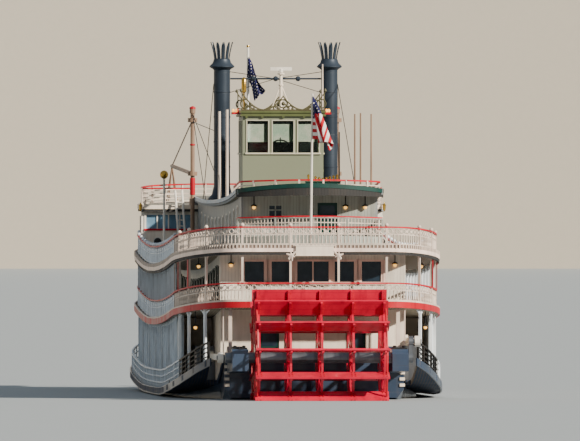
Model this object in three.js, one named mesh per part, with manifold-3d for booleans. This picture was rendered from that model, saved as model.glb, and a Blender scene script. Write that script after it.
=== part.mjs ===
// A sternwheel paddle steamer as a 1:10 scale model.
// Every length below is in metres of the full-size boat. The last lines bring the whole
// boat to the model's millimetres. X is to starboard, s (the Y axis) is the distance
// forward of the paddle shaft, and Z is the height above the waterline.
import * as THREE from "three";
import { mergeVertices } from "three/addons/utils/BufferGeometryUtils.js";
import Module from "manifold-3d";

const wasm = await Module();
wasm.setup();

// Driving dimensions
const MODEL_MM_PER_METRE = 100; // 1:10
const GAP = 0.003; // left between touching pieces
const RUNNING = 0.008; // left round a shaft or pin
const DRAFT = 1.83;
const STERN = -3.8;
const BOW = 79.4; // the landing stages reach past the stem
const MIDSHIP = 38;

const SHEER = { aftRun: 33.5, foreRun: 38, foreRise: 2.2 };
const DECK = 0.3; // thickness of a deck
const DECKS = {
  main: { level: 0.45, aftRise: 2.12, aftPower: 6 },
  boiler: { level: 4.3, aftRise: 1.1, aftPower: 2 },
  hurricane: { level: 7.4, aftRise: 1.1, aftPower: 2 },
  skylight: { level: 8.15, aftRise: 1.1, aftPower: 2 },
  roof: { level: 11.1, aftRise: 0.85, aftPower: 3, foreRise: 1.2 },
};
const STATIONS = [1, 4.4, 6, 8, 10, 13, 17, 22, 28, 34, 42, 48, 54, 60, 65, 70, 73, 76, 82];

// Plans: aft and fore ends, half width, the flat half of each end and the run of its arc
const PLANS = {
  main: { aft: 4.6, aftFlat: 4.6, aftRun: 12.4, half: 7.8, fore: 76, foreFlat: 0.4, foreRun: 18 },
  boiler: { aft: 4.4, aftFlat: 4.2, aftRun: 9.6, half: 7.44, fore: 67, foreFlat: 3, foreRun: 8 },
  hurricane: { aft: 4.4, aftFlat: 4.2, aftRun: 9.6, half: 7.44, fore: 66, foreFlat: 3, foreRun: 7 },
  lounge: { aft: 57, aftFlat: 6.8, aftRun: 0.5, half: 7.12, fore: 65.4, foreFlat: 3, foreRun: 6.4 },
  loungeRoof: { aft: 58.2, aftFlat: 6.9, aftRun: 0.6, half: 7.25, fore: 65.8, foreFlat: 3, foreRun: 6.8 },
};

const WHEEL = {
  z: 2.35, radius: 3.82, half: 3.675, arms: 15, arm: 0.16, bucket: 0.94, plank: 0.09,
  flanges: [-3.45, -1.725, 0, 1.725, 3.45], shaft: 0.3, hub: 0.75, ring: 2.9, restTurn: 12,
};
const CRANK = { throw: 0.9, inner: 4.92, outer: 5.17, pinEnd: 5.62, pin: 0.12 };
const PITMAN = { inner: 5.25, outer: 5.55, length: 10.5, depth: 0.3, eye: 0.3 };
const BEAM = { inner: 3.95, outer: 4.85, aft: -1.3, fore: 10, low: 1.62, high: 2.57, onDeck: 0.4 };
const HOUSE = { half: 7, aft: 12.5, bulkhead: 16.5, fore: 60, wall: 0.15, inner: 5.1, innerAft: 6.6 };
const CABIN = { half: 5.14, aft: 6.2, fore: 60, wall: 0.14 };
const TEXAS = { half: 3.8, aft: 9.5, fore: 58.5, wall: 0.12 };
const SKYLIGHT = { half: 4.05, aft: 7.2, fore: 58.5, wall: 0.15 };
const ROOF = { half: 4.05, aft: 7.5, fore: 58.8 };
const STERN_ARC = 1.5; // how far the ends of the skylight deck and roof curve forward
const LOUNGE = { aft: 58.5, wall: 0.14, drop: 0.58 }; // its roof is lower than the texas roof
const PILOTHOUSE = {
  half: 2.32, aft: 36, fore: 40.5, wall: 0.12, top: 15.95, sill: 13.85, head: 15.7, eaves: 0.14,
};
const DOOR = { aft: 36.55, fore: 37.25, low: 11.25, high: 13.05 };
const STACK = { s: 43.8, x: 3.12, radius: 0.475, collar: 18.9, crown: 20.35, feathers: 8 };
const RAIL = { height: 1.05, bar: 0.09, low: 0.16, post: 0.2, onRoof: 0.45 };
const MAST = { s: 55.5, x: 4.25, radius: 0.13, top: 16.4, boom: 12.75 };
const STAGE = {
  x: 4.6, aft: 67.4, fore: 79.4, half: 0.9, z: 6.7, depth: 0.3, tip: [73.4, 13.3], boomRadius: 0.12,
};
const CREST = { dipX: 1.15, dip: 0.16, peak: 0.95, end: 1.2, thickness: 0.12 };
const STAFF = { x: -0.17, s: 5.4, rake: 12, top: 16.9 };
const RUDDER = {
  x: 2.6, stock: 6, aft: 4, fore: 7.3, low: -1.7, high: -0.66, half: 0.08, radius: 0.14, head: -0.238,
};

const COLOUR = {
  hull: "#232d3d", white: "#e1d7cd", red: "#c81423", teal: "#1e5550", sage: "#8c966e",
  slate: "#374659", wood: "#8a6a48", brass: "#c8a046", steel: "#5c6066", grey: "#9aa0a6",
  deck: "#7d6a55", black: "#26282b", canvas: "#33406b",
};

const boat = new THREE.Group();

function add(name, solid, colour, metalness = 0) {
  const geometry = solid.isBufferGeometry ? solid : toGeometry(solid);
  const material = new THREE.MeshStandardMaterial({ color: colour, roughness: 0.6, metalness });
  const mesh = new THREE.Mesh(geometry, material);
  mesh.name = name;
  boat.add(mesh);
}

function toSolid(source) {
  const geometry = source.clone();
  geometry.deleteAttribute("normal");
  geometry.deleteAttribute("uv");
  const merged = mergeVertices(geometry, 1e-5);
  return new wasm.Manifold(new wasm.Mesh({
    numProp: 3,
    vertProperties: new Float32Array(merged.attributes.position.array),
    triVerts: new Uint32Array(merged.index.array),
  }));
}

function toGeometry(solid) {
  const mesh = solid.asOriginal().getMesh(); // asOriginal merges the coplanar faces
  const geometry = new THREE.BufferGeometry();
  geometry.setAttribute("position", new THREE.BufferAttribute(mesh.vertProperties, 3));
  geometry.setIndex(new THREE.BufferAttribute(mesh.triVerts, 1));
  geometry.computeVertexNormals();
  return geometry;
}

const join = (...solids) => solids.flat().reduce((sum, one) => sum.add(one));

// The sheer curve of a deck's floor
function sheer(deck, s) {
  const { level, aftRise, aftPower, foreRise = SHEER.foreRise } = DECKS[deck];
  if (s > MIDSHIP) return level + foreRise * ((s - MIDSHIP) / SHEER.foreRun) ** 2;
  return level + aftRise * ((MIDSHIP - s) / SHEER.aftRun) ** aftPower;
}

// The height of a deck's floor at s: plating is straight between stations
function floor(deck, s) {
  const after = STATIONS.findIndex((station) => station >= s);
  const [a, b] = [STATIONS[after - 1], STATIONS[after]];
  const share = (s - a) / (b - a);
  return sheer(deck, a) * (1 - share) + sheer(deck, b) * share;
}

// A slab across the whole beam between two heights that follow decks
function band(lowDeck, lowOffset, highDeck, highOffset, from = 4, to = 77) {
  const stops = [from, ...STATIONS.filter((s) => s > from + 0.1 && s < to - 0.1), to];
  const side = new THREE.Shape([
    ...stops.map((s) => new THREE.Vector2(s, floor(lowDeck, s) + lowOffset)),
    ...stops.toReversed().map((s) => new THREE.Vector2(s, floor(highDeck, s) + highOffset)),
  ]);
  return sideways(side, -10, 20);
}

// A side view, drawn in s and height, extruded across the beam from x
function sideways(side, x, width) {
  const geometry = new THREE.ExtrudeGeometry(side, { depth: width, bevelEnabled: false });
  geometry.applyMatrix4(new THREE.Matrix4().makeBasis(
    new THREE.Vector3(0, 1, 0), new THREE.Vector3(0, 0, 1), new THREE.Vector3(1, 0, 0),
  ));
  geometry.translate(x, 0, 0);
  return toSolid(geometry);
}

// A solid cut off just above a deck, so that its foot follows the floor
const seated = (deck, solid) => solid.intersect(band(deck, GAP, deck, 20, 1.5, 81));

// A plan outline extruded from one height to another
function prism(points, low = -3, high = 25) {
  const geometry = new THREE.ExtrudeGeometry(new THREE.Shape(points), {
    depth: high - low, bevelEnabled: false,
  });
  geometry.translate(0, 0, low);
  return toSolid(geometry);
}

function box(x0, x1, s0, s1, z0, z1) {
  const geometry = new THREE.BoxGeometry(x1 - x0, s1 - s0, z1 - z0);
  geometry.translate((x0 + x1) / 2, (s0 + s1) / 2, (z0 + z1) / 2);
  return toSolid(geometry);
}

const wide = (x0, x1, s0, s1) => box(x0, x1, s0, s1, -3, 25);

// A round bar between two points
function bar(from, to, radius, sides = 8, endRadius = radius) {
  const a = new THREE.Vector3(...from);
  const b = new THREE.Vector3(...to);
  const geometry = new THREE.CylinderGeometry(endRadius, radius, a.distanceTo(b), sides);
  geometry.applyQuaternion(new THREE.Quaternion().setFromUnitVectors(
    new THREE.Vector3(0, 1, 0), b.clone().sub(a).normalize(),
  ));
  geometry.translate(...a.add(b).multiplyScalar(0.5).toArray());
  return toSolid(geometry);
}

function turned(profile, sides, x, s) {
  const geometry = new THREE.LatheGeometry(profile.map((p) => new THREE.Vector2(...p)), sides);
  geometry.rotateX(Math.PI / 2);
  geometry.translate(x, s, 0);
  return toSolid(geometry);
}

// A deck's plan with its rounded ends, drawn in by an inset
function outline(name, inset = 0, steps = 7) {
  const plan = PLANS[name];
  const side = [];
  for (let i = 0; i <= steps; i += 1) {
    const t = (i / steps) * (Math.PI / 2);
    side.push([
      plan.aftFlat + (plan.half - plan.aftFlat - inset) * Math.sin(t),
      plan.aft + plan.aftRun - (plan.aftRun - inset) * Math.cos(t),
    ]);
  }
  for (let i = steps; i >= 0; i -= 1) {
    const t = (i / steps) * (Math.PI / 2);
    side.push([
      plan.foreFlat + (plan.half - plan.foreFlat - inset) * Math.sin(t),
      plan.fore - plan.foreRun + (plan.foreRun - inset) * Math.cos(t),
    ]);
  }
  return [
    ...side.map(([x, s]) => new THREE.Vector2(x, s)),
    ...side.toReversed().map(([x, s]) => new THREE.Vector2(-x, s)),
  ];
}

const MIRROR = [["port", -1], ["starboard", 1]];

// A slab for one side of the boat only
const sideBox = (sign, x0, x1, s0, s1) => (
  sign > 0 ? wide(x0, x1, s0, s1) : wide(-x1, -x0, s0, s1)
);

// Hull: sections are s, half width at the bilge, half width at the top, and keel height
const HULL_SECTIONS = [
  [4.6, 4.6, 4.95, 0.1], [7, 4.8, 4.95, -0.42], [10, 4.9, 4.95, -1.05], [14, 5.6, 5.9, -1.7],
  [18, 6.2, 6.5, -DRAFT], [22, 6.4, 6.7, -DRAFT], [34, 6.4, 6.7, -DRAFT], [48, 6.4, 6.7, -DRAFT],
  [58, 6.3, 6.7, -DRAFT], [63, 5.7, 6.4, -DRAFT], [67, 4.5, 5.6, -1.6], [70, 3.2, 4.7, -1.0],
  [73, 1.7, 3.3, 0], [75.4, 0.5, 1.3, 1.2],
];

function hull() {
  const rings = HULL_SECTIONS.map(([s, bilge, top, keel]) => {
    const deck = floor("main", s);
    const turn = keel + Math.min(0.5, (deck - keel) / 2);
    return [
      [-bilge, s, keel], [bilge, s, keel], [top, s, turn],
      [top, s, deck], [-top, s, deck], [-top, s, turn],
    ];
  });
  const positions = rings.flat(2);
  const index = [];
  const count = 6;
  for (let i = 0; i + 1 < rings.length; i += 1) {
    for (let k = 0; k < count; k += 1) {
      const a = i * count + k;
      const b = i * count + ((k + 1) % count);
      index.push(a, a + count, b, b, a + count, b + count);
    }
  }
  const last = (rings.length - 1) * count;
  for (let k = 1; k + 1 < count; k += 1) {
    index.push(0, k, k + 1);
    index.push(last, last + k + 1, last + k);
  }
  const geometry = new THREE.BufferGeometry();
  geometry.setAttribute("position", new THREE.Float32BufferAttribute(positions, 3));
  geometry.setIndex(index);
  return toSolid(geometry).intersect(band("main", -6, "main", -DECK - GAP));
}

const pitmanSlot = (sign) => sideBox(sign, 5.08, 5.75, 4, 11.2);

// One of the two timbers that carry the paddle shaft: it lies on the deck and runs out aft
function wheelBeam(sign) {
  const { inner, outer, aft, fore, low, high, onDeck } = BEAM;
  const butt = PLANS.main.aft - GAP;
  const stops = [butt, 6, 8, fore];
  const side = new THREE.Shape([
    [aft, low], [butt, low - 0.15], ...stops.map((s) => [s, floor("main", s) + GAP + 0.01]),
    ...stops.toReversed().map((s) => [s, floor("main", s) + onDeck]),
    [3.8, high], [1, high], [0.75, high + 0.25], [-0.75, high + 0.25], [aft + 0.2, high], [aft, high],
  ].map(([s, z]) => new THREE.Vector2(s, z)));
  const timber = sideways(side, sign > 0 ? inner : -outer, outer - inner);
  return timber.subtract(bar([-6, 0, WHEEL.z], [6, 0, WHEEL.z], WHEEL.shaft + RUNNING, 16));
}

function hullAndDeck() {
  add("hull", hull(), COLOUR.hull);
  let deck = prism(outline("main")).intersect(band("main", -DECK, "main", 0));
  for (const [side, sign] of MIRROR) {
    deck = deck.subtract(pitmanSlot(sign));
    add(`wheel_beam_${side}`, wheelBeam(sign), COLOUR.hull);
  }
  add("main_deck", deck, COLOUR.deck);
}

function paddleWheel() {
  const { z, radius, half, arms, arm, bucket, plank, flanges, shaft, hub, ring } = WHEEL;
  const start = THREE.MathUtils.degToRad(WHEEL.restTurn);
  const angles = Array.from({ length: arms }, (_, i) => start + (i / arms) * Math.PI * 2);
  const ringAt = (x, outer, inner, width) => {
    const profile = [[inner, -width], [outer, -width], [outer, width], [inner, width], [inner, -width]];
    const geometry = new THREE.LatheGeometry(profile.map((p) => new THREE.Vector2(...p)), arms);
    geometry.rotateZ(Math.PI / 2).rotateX(start);
    geometry.translate(x, 0, z);
    return toSolid(geometry);
  };
  const turnedBox = (angle, offset, depth, low, high, x0, x1) => {
    const geometry = new THREE.BoxGeometry(x1 - x0, depth, high - low);
    geometry.translate((x0 + x1) / 2, offset, (low + high) / 2);
    geometry.rotateX(angle);
    geometry.translate(0, 0, z);
    return toSolid(geometry);
  };
  const parts = [];
  for (const x of flanges) {
    parts.push(ringAt(x, hub, shaft / 2, 0.12));
    parts.push(ringAt(x, ring + 0.11, ring - 0.11, 0.06));
    for (const angle of angles) {
      parts.push(turnedBox(angle, 0, arm, hub - 0.1, radius - 0.06, x - 0.06, x + 0.06));
    }
  }
  for (const angle of angles) {
    parts.push(turnedBox(angle, arm / 2, plank, radius - bucket, radius, -half, half));
  }
  const bore = bar([-half - 1, 0, z], [half + 1, 0, z], shaft + GAP, 16);
  add("paddle_wheel", join(parts).subtract(bore), COLOUR.red);

  const throws = { port: 0, starboard: Math.PI / 2 };
  const pieces = [bar([-CRANK.outer, 0, z], [CRANK.outer, 0, z], shaft, 16)];
  for (const [side, sign] of MIRROR) {
    const pinS = CRANK.throw * Math.cos(throws[side]);
    const pinZ = z + CRANK.throw * Math.sin(throws[side]);
    const web = new THREE.BoxGeometry(CRANK.outer - CRANK.inner, CRANK.throw, 0.42);
    web.translate(sign * (CRANK.inner + CRANK.outer) / 2, CRANK.throw / 2, 0);
    web.rotateX(throws[side]);
    web.translate(0, 0, z);
    const end = (x0, x1, r) => bar([sign * x0, pinS, pinZ], [sign * x1, pinS, pinZ], r, 12);
    pieces.push(toSolid(web), end(CRANK.inner, CRANK.outer, 0.3), end(CRANK.inner, CRANK.pinEnd, CRANK.pin));
  }
  add("wheel_shaft", join(pieces), COLOUR.steel, 0.6);

  for (const [side, sign] of MIRROR) {
    const pinS = CRANK.throw * Math.cos(throws[side]);
    const pinZ = z + CRANK.throw * Math.sin(throws[side]);
    const inner = sign > 0 ? PITMAN.inner : -PITMAN.outer;
    const outer = sign > 0 ? PITMAN.outer : -PITMAN.inner;
    const rod = box(inner, outer, pinS, pinS + PITMAN.length, pinZ - PITMAN.depth / 2, pinZ + PITMAN.depth / 2);
    const eye = (s, r) => bar([inner, s, pinZ], [outer, s, pinZ], r, 14);
    const hole = (s, r) => bar([inner - 1, s, pinZ], [outer + 1, s, pinZ], r, 12);
    const solid = rod.add(eye(pinS, PITMAN.eye)).add(eye(pinS + PITMAN.length, PITMAN.eye))
      .subtract(hole(pinS, CRANK.pin + RUNNING)).subtract(hole(pinS + PITMAN.length, CRANK.pin + RUNNING));
    add(`pitman_${side}`, solid, COLOUR.white);
  }
  for (const [side, sign] of MIRROR) {
    const x = sign * (PITMAN.inner + PITMAN.outer) / 2;
    const block = sideBox(sign, 5.13, 6.2, 12.9, 16.2).intersect(box(-9, 9, 0, 20, 0.2, z + 0.55));
    const rod = bar([x, 11.8, z], [x, 13, z], 0.1, 8);
    const guide = sideBox(sign, 5.15, 5.7, 12.2, 13).intersect(box(-9, 9, 0, 20, 0.2, z - 0.2));
    const above = band("main", GAP, "roof", 0, 10, 20);
    add(`engine_${side}`, join(block, rod, guide).intersect(above), COLOUR.steel, 0.4);
  }
  const boiler = join([-1.9, 1.9].map((x) => bar([x, 40, 2.6], [x, 49, 2.6], 1.3, 14)))
    .add(box(-3.2, 3.2, 40, 49, 0.3, 2.2)).intersect(band("main", GAP, "boiler", -1, 39, 50));
  add("boiler", boiler, COLOUR.black);
}

function rudders() {
  for (const [side, sign] of MIRROR) {
    const x = sign * RUDDER.x;
    const blade = box(
      x - RUDDER.half, x + RUDDER.half, RUDDER.aft, RUDDER.fore, RUDDER.low, RUDDER.high,
    );
    const stock = bar([x, RUDDER.stock, RUDDER.low + 0.2], [x, RUDDER.stock, RUDDER.head], RUDDER.radius, 10);
    add(`rudder_${side}`, blade.add(stock), COLOUR.hull);
  }
}

// Openings along a side wall: first, last and pitch along s, width, sill and head heights
function sideCuts(deck, row) {
  const cuts = [];
  for (let s = row.first; s <= row.last + 0.01; s += row.pitch) {
    const z = floor(deck, s);
    cuts.push(box(-9, 9, s - row.width / 2, s + row.width / 2, z + row.sill, z + row.head));
  }
  return join(cuts);
}

function endCuts(deck, s, row) {
  const z = floor(deck, s);
  return join(row.xs.map((x) => (
    box(x - row.width / 2, x + row.width / 2, s - 1, s + 1, z + row.sill, z + row.head)
  )));
}

function mainHouse() {
  const storey = band("main", GAP, "boiler", -DECK - GAP);
  const { half, aft, bulkhead, fore, wall, inner, innerAft } = HOUSE;
  for (const [side, sign] of MIRROR) {
    const panel = sideBox(sign, half - wall, half, aft, fore).intersect(storey);
    const doors = sideCuts("main", { first: 22, last: 54, pitch: 8, width: 2.2, sill: 0.1, head: 2.6 });
    add(`main_house_${side}`, panel.subtract(doors), COLOUR.grey);
  }
  const clear = half - wall - GAP;
  const plan = [
    [-clear, bulkhead], [-inner, bulkhead], [-inner, innerAft], [inner, innerAft],
    [inner, bulkhead], [clear, bulkhead], [clear, bulkhead + wall],
    [inner - wall, bulkhead + wall], [inner - wall, innerAft + wall],
    [wall - inner, innerAft + wall], [wall - inner, bulkhead + wall], [-clear, bulkhead + wall],
  ].map(([x, s]) => new THREE.Vector2(x, s));
  const beams = join(MIRROR.map(([, sign]) => (
    sideBox(sign, BEAM.inner - 0.02, BEAM.outer + 0.02, 0, BEAM.fore + 0.02)
      .intersect(band("main", -1, "main", BEAM.onDeck + 0.03))
  )));
  const aftWall = prism(plan).intersect(storey).subtract(beams)
    .subtract(endCuts("main", innerAft, { xs: [-2.4, 2.4], width: 1.1, sill: 0.1, head: 2.1 }));
  add("main_house_aft", aftWall, COLOUR.white);
  const foreWall = wide(-clear, clear, fore - wall, fore).intersect(storey)
    .subtract(endCuts("main", fore, { xs: [-4.6, -2.3, 2.3, 4.6], width: 1.1, sill: 0.9, head: 2.3 }))
    .subtract(endCuts("main", fore, { xs: [0], width: 1.8, sill: 0.05, head: 2.4 }));
  add("main_house_fore", foreWall, COLOUR.white);
}

// A railing along a deck's edge: bars on posts, which may carry the deck above
function railing(name, deck, plan, above, region, posts, heights = [RAIL.height], drop = 0) {
  const edge = (inset, width) => (
    prism(outline(plan, inset)).subtract(prism(outline(plan, inset + width)))
  );
  const bars = heights.map((height) => (
    edge(0.12, 0.1).intersect(band(deck, height - drop - RAIL.bar, deck, height - drop)).intersect(region)
  ));
  const high = above ? band(deck, GAP, above, -DECK - GAP)
    : band(deck, GAP - drop, deck, RAIL.height + 0.1 - drop);
  const w = RAIL.post / 2;
  const columns = posts.map(([x, s]) => wide(x - w, x + w, s - w, s + w).intersect(high));
  add(name, join(bars, columns), COLOUR.white);
}

// Points along one side of a plan's straight run, just inside its edge
function sidePosts(sign, half, from, to, count) {
  return Array.from({ length: count }, (_, i) => (
    [sign * (half - 0.17), from + ((to - from) * i) / (count - 1)]
  ));
}

// Points round an end's arc: the angles are in degrees from the centreline
function endPosts(name, end, angles) {
  const plan = PLANS[name];
  const flat = end === "aft" ? plan.aftFlat : plan.foreFlat;
  const run = end === "aft" ? plan.aftRun : plan.foreRun;
  const from = end === "aft" ? plan.aft : plan.fore;
  const way = end === "aft" ? 1 : -1;
  return angles.map((degrees) => {
    const t = (Math.abs(degrees) * Math.PI) / 180;
    const x = Math.sign(degrees) * (flat + (plan.half - flat - 0.17) * Math.sin(t));
    return [x, from + way * (run - (run - 0.17) * Math.cos(t))];
  });
}

function rails() {
  const arcs = [-70, -40, -10, 10, 40, 70];
  for (const [side, sign] of MIRROR) {
    const half = sideBox(sign, GAP, 10, 14 + GAP, 90);
    const own = (list) => list.filter((degrees) => Math.sign(degrees) === sign);
    const mainArc = endPosts("main", "aft", own([-65, -35, 35, 65]));
    const mainRegion = sideBox(sign, 5.8, 10, 5, 72);
    railing(`main_rail_${side}`, "main", "main", "", mainRegion, [
      ...mainArc, ...sidePosts(sign, 7.8, 18, 58, 7),
      ...endPosts("main", "fore", own([-65, -52, 52, 65])),
    ]);
    railing(`boiler_rail_${side}`, "boiler", "boiler", "hurricane", half, [
      ...sidePosts(sign, 7.44, 15, 58, 9),
      ...endPosts("boiler", "fore", own([-65, -40, 40, 65])),
    ]);
    railing(`hurricane_rail_${side}`, "hurricane", "hurricane", "", half, [
      ...sidePosts(sign, 7.44, 15, 59, 7),
      ...endPosts("hurricane", "fore", own([-45, -12, 12, 45])),
    ]);
  }
  const stern = wide(-10, 10, 3, 14 - GAP);
  const two = [RAIL.height, RAIL.low];
  railing("boiler_rail_aft", "boiler", "boiler", "hurricane", stern, endPosts("boiler", "aft", arcs), two);
  railing("hurricane_rail_aft", "hurricane", "hurricane", "", stern, endPosts("hurricane", "aft", arcs), two);
}

// The plan of a strip whose aft edge is a shallow arc
function arcPlan({ half, aft, fore }, inset = 0) {
  const steps = 8;
  const arc = Array.from({ length: steps + 1 }, (_, i) => (i / steps) * 2 - 1);
  return [
    ...arc.map((u) => new THREE.Vector2(u * (half - inset), aft + inset + STERN_ARC * u * u)),
    new THREE.Vector2(half - inset, fore - inset - GAP), new THREE.Vector2(inset - half, fore - inset - GAP),
  ];
}

// The railing along such an arc and a little way forward of it
function arcRail(plan, deck, inset, fore, height) {
  const end = { ...plan, fore: fore + 1 };
  const clip = wide(-plan.half, plan.half, plan.aft - 1, fore);
  const bar = prism(arcPlan(end, inset)).subtract(prism(arcPlan({ ...end, fore: fore + 3 }, inset + 0.1)))
    .intersect(clip).intersect(band(deck, height - RAIL.bar, deck, height));
  const foot = inset ? GAP : -0.05;
  const spots = [-1, -0.5, 0, 0.5, 1].map((u) => [u * (plan.half - inset - 0.05), u]);
  const columns = spots.map(([x, u]) => {
    const s = plan.aft + inset + 0.05 + STERN_ARC * u * u;
    return wide(x - 0.05, x + 0.05, s - 0.05, s + 0.05);
  });
  const sides = MIRROR.map(([, sign]) => (
    sideBox(sign, plan.half - inset - 0.1, plan.half - inset, fore - 0.1, fore)
  ));
  return join(bar, join(columns, sides).intersect(band(deck, foot, deck, height)));
}

function decks() {
  add("boiler_deck", prism(outline("boiler")).intersect(band("boiler", -DECK, "boiler", 0)), COLOUR.red);
  add(
    "hurricane_deck",
    prism(outline("hurricane")).intersect(band("hurricane", -DECK, "hurricane", 0)),
    COLOUR.white,
  );
  const { wall } = SKYLIGHT;
  const top = prism(arcPlan(SKYLIGHT)).intersect(band("hurricane", GAP, "skylight", 0));
  const hollow = prism(arcPlan(SKYLIGHT, wall)).intersect(band("hurricane", -1, "skylight", -wall));
  const rail = arcRail(SKYLIGHT, "skylight", 0, TEXAS.aft + 0.2, RAIL.height);
  add("skylight_deck", join(top.subtract(hollow), rail), COLOUR.white);

  const { aft, drop } = LOUNGE;
  const strip = prism(arcPlan(ROOF)).intersect(band("roof", -DECK, "roof", 0));
  const lounge = prism(outline("loungeRoof", 0, 5)).subtract(wide(-3.85, 3.85, 50, aft))
    .intersect(band("roof", -DECK - drop, "roof", -drop));
  const riser = wide(-ROOF.half, ROOF.half, aft, ROOF.fore).intersect(band("roof", -DECK - drop, "roof", 0));
  add("texas_roof", join(strip, lounge, riser), COLOUR.teal);
}

function cabins() {
  const storey = band("boiler", GAP, "hurricane", -DECK - GAP);
  const { half, aft, fore, wall } = CABIN;
  const windows = sideCuts("boiler", { first: 9, last: 57, pitch: 3, width: 1.5, sill: 0.5, head: 2.2 });
  for (const [side, sign] of MIRROR) {
    const panel = sideBox(sign, half - wall, half, aft, fore).intersect(storey);
    add(`boiler_cabin_${side}`, panel.subtract(windows), COLOUR.white);
  }
  const clear = half - wall - GAP;
  const aftXs = [-3.25, -1.75, 0, 1.75, 3.25];
  const aftWall = wide(-clear, clear, aft, aft + wall).intersect(storey)
    .subtract(endCuts("boiler", aft, { xs: aftXs, width: 1.35, sill: 1.2, head: 2.35 }));
  add("boiler_cabin_aft", aftWall, COLOUR.white);
  const foreWall = wide(-clear, clear, fore - wall, fore).intersect(storey)
    .subtract(endCuts("boiler", fore, { xs: aftXs, width: 1.2, sill: 0.05, head: 2.2 }));
  add("boiler_cabin_fore", foreWall, COLOUR.white);
}

function texas() {
  const storey = band("skylight", GAP, "roof", -DECK - GAP);
  const { half, aft, fore, wall } = TEXAS;
  const windows = sideCuts("skylight", { first: 13, last: 53, pitch: 4, width: 1, sill: 0.6, head: 1.9 });
  for (const [side, sign] of MIRROR) {
    const panel = sideBox(sign, half - wall, half, aft, fore - GAP).intersect(storey);
    add(`texas_house_${side}`, panel.subtract(windows), COLOUR.white);
  }
  const clear = half - wall - GAP;
  const aftWall = wide(-clear, clear, aft, aft + wall).intersect(storey)
    .subtract(endCuts("skylight", aft, { xs: [1], width: 1.1, sill: 0.05, head: 1.95 }))
    .subtract(endCuts("skylight", aft, { xs: [-1.9], width: 0.7, sill: 0.9, head: 1.8 }));
  add("texas_house_aft", aftWall, COLOUR.white);
}

// The forward lounge: its walls follow the round of the deck
function lounge() {
  const { aft, wall, drop } = LOUNGE;
  const storey = band("hurricane", GAP, "roof", -DECK - drop - GAP);
  const shell = prism(outline("lounge")).subtract(prism(outline("lounge", wall))).intersect(storey);
  const { half, fore, foreFlat } = PLANS.lounge;
  const windows = sideCuts("hurricane", { first: 59.9, last: 63.5, pitch: 1.8, width: 1.25, sill: 0.5, head: 2.05 });
  for (const [side, sign] of MIRROR) {
    const panel = shell.intersect(sideBox(sign, foreFlat + GAP, half, aft, fore));
    add(`lounge_${side}`, panel.subtract(windows), COLOUR.white);
  }
  const clear = half - wall - GAP;
  const aftWall = wide(-clear, clear, aft, aft + wall).intersect(storey)
    .subtract(endCuts("hurricane", aft, { xs: [-5.52, 5.52], width: 2.66, sill: 0.5, head: 2.3 }));
  add("lounge_aft", aftWall, COLOUR.white);
  const foreWall = shell.intersect(wide(-foreFlat, foreFlat, aft + 1, fore + 1))
    .subtract(endCuts("hurricane", fore, { xs: [-2, 0, 2], width: 1.5, sill: 0.5, head: 2.05 }));
  add("lounge_fore", foreWall, COLOUR.white);
}

function roofRails() {
  const { half, fore, foreRun } = PLANS.loungeRoof;
  for (const [side, sign] of MIRROR) {
    const region = sideBox(sign, GAP, 10, 58.3, 90).subtract(wide(-ROOF.half - 0.15, ROOF.half + 0.15, 50, 60));
    railing(`roof_rail_${side}`, "roof", "loungeRoof", "", region, [
      ...sidePosts(sign, half, 58.6, fore - foreRun + 1, 2), [sign * (ROOF.half + 0.25), 58.37],
      ...endPosts("loungeRoof", "fore", [sign * 70, sign * 45, sign * 15]),
    ], [RAIL.height], LOUNGE.drop);
  }
  add("roof_rail_aft", arcRail(ROOF, "roof", 0.1, 15, RAIL.onRoof), COLOUR.white);
}

// The crest over an end of the pilothouse: raised ends, a dip each side and a centre peak
function crestPlate(edge) {
  const { dipX, dip, peak, end, thickness } = CREST;
  const height = (u) => (
    u < dipX ? dip + (peak - dip) * (1 - u / dipX) ** 2 : dip + (end - dip) * ((u - dipX) / (edge - dipX)) ** 1.8
  );
  const steps = 20;
  const top = Array.from({ length: steps + 1 }, (_, i) => edge * ((2 * i) / steps - 1));
  const plate = new THREE.Shape([
    ...top.map((x) => new THREE.Vector2(x, height(Math.abs(x)))),
    new THREE.Vector2(edge, -0.05), new THREE.Vector2(-edge, -0.05),
  ]);
  const geometry = new THREE.ExtrudeGeometry(plate, { depth: thickness, bevelEnabled: false });
  return geometry.rotateX(Math.PI / 2);
}

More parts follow.
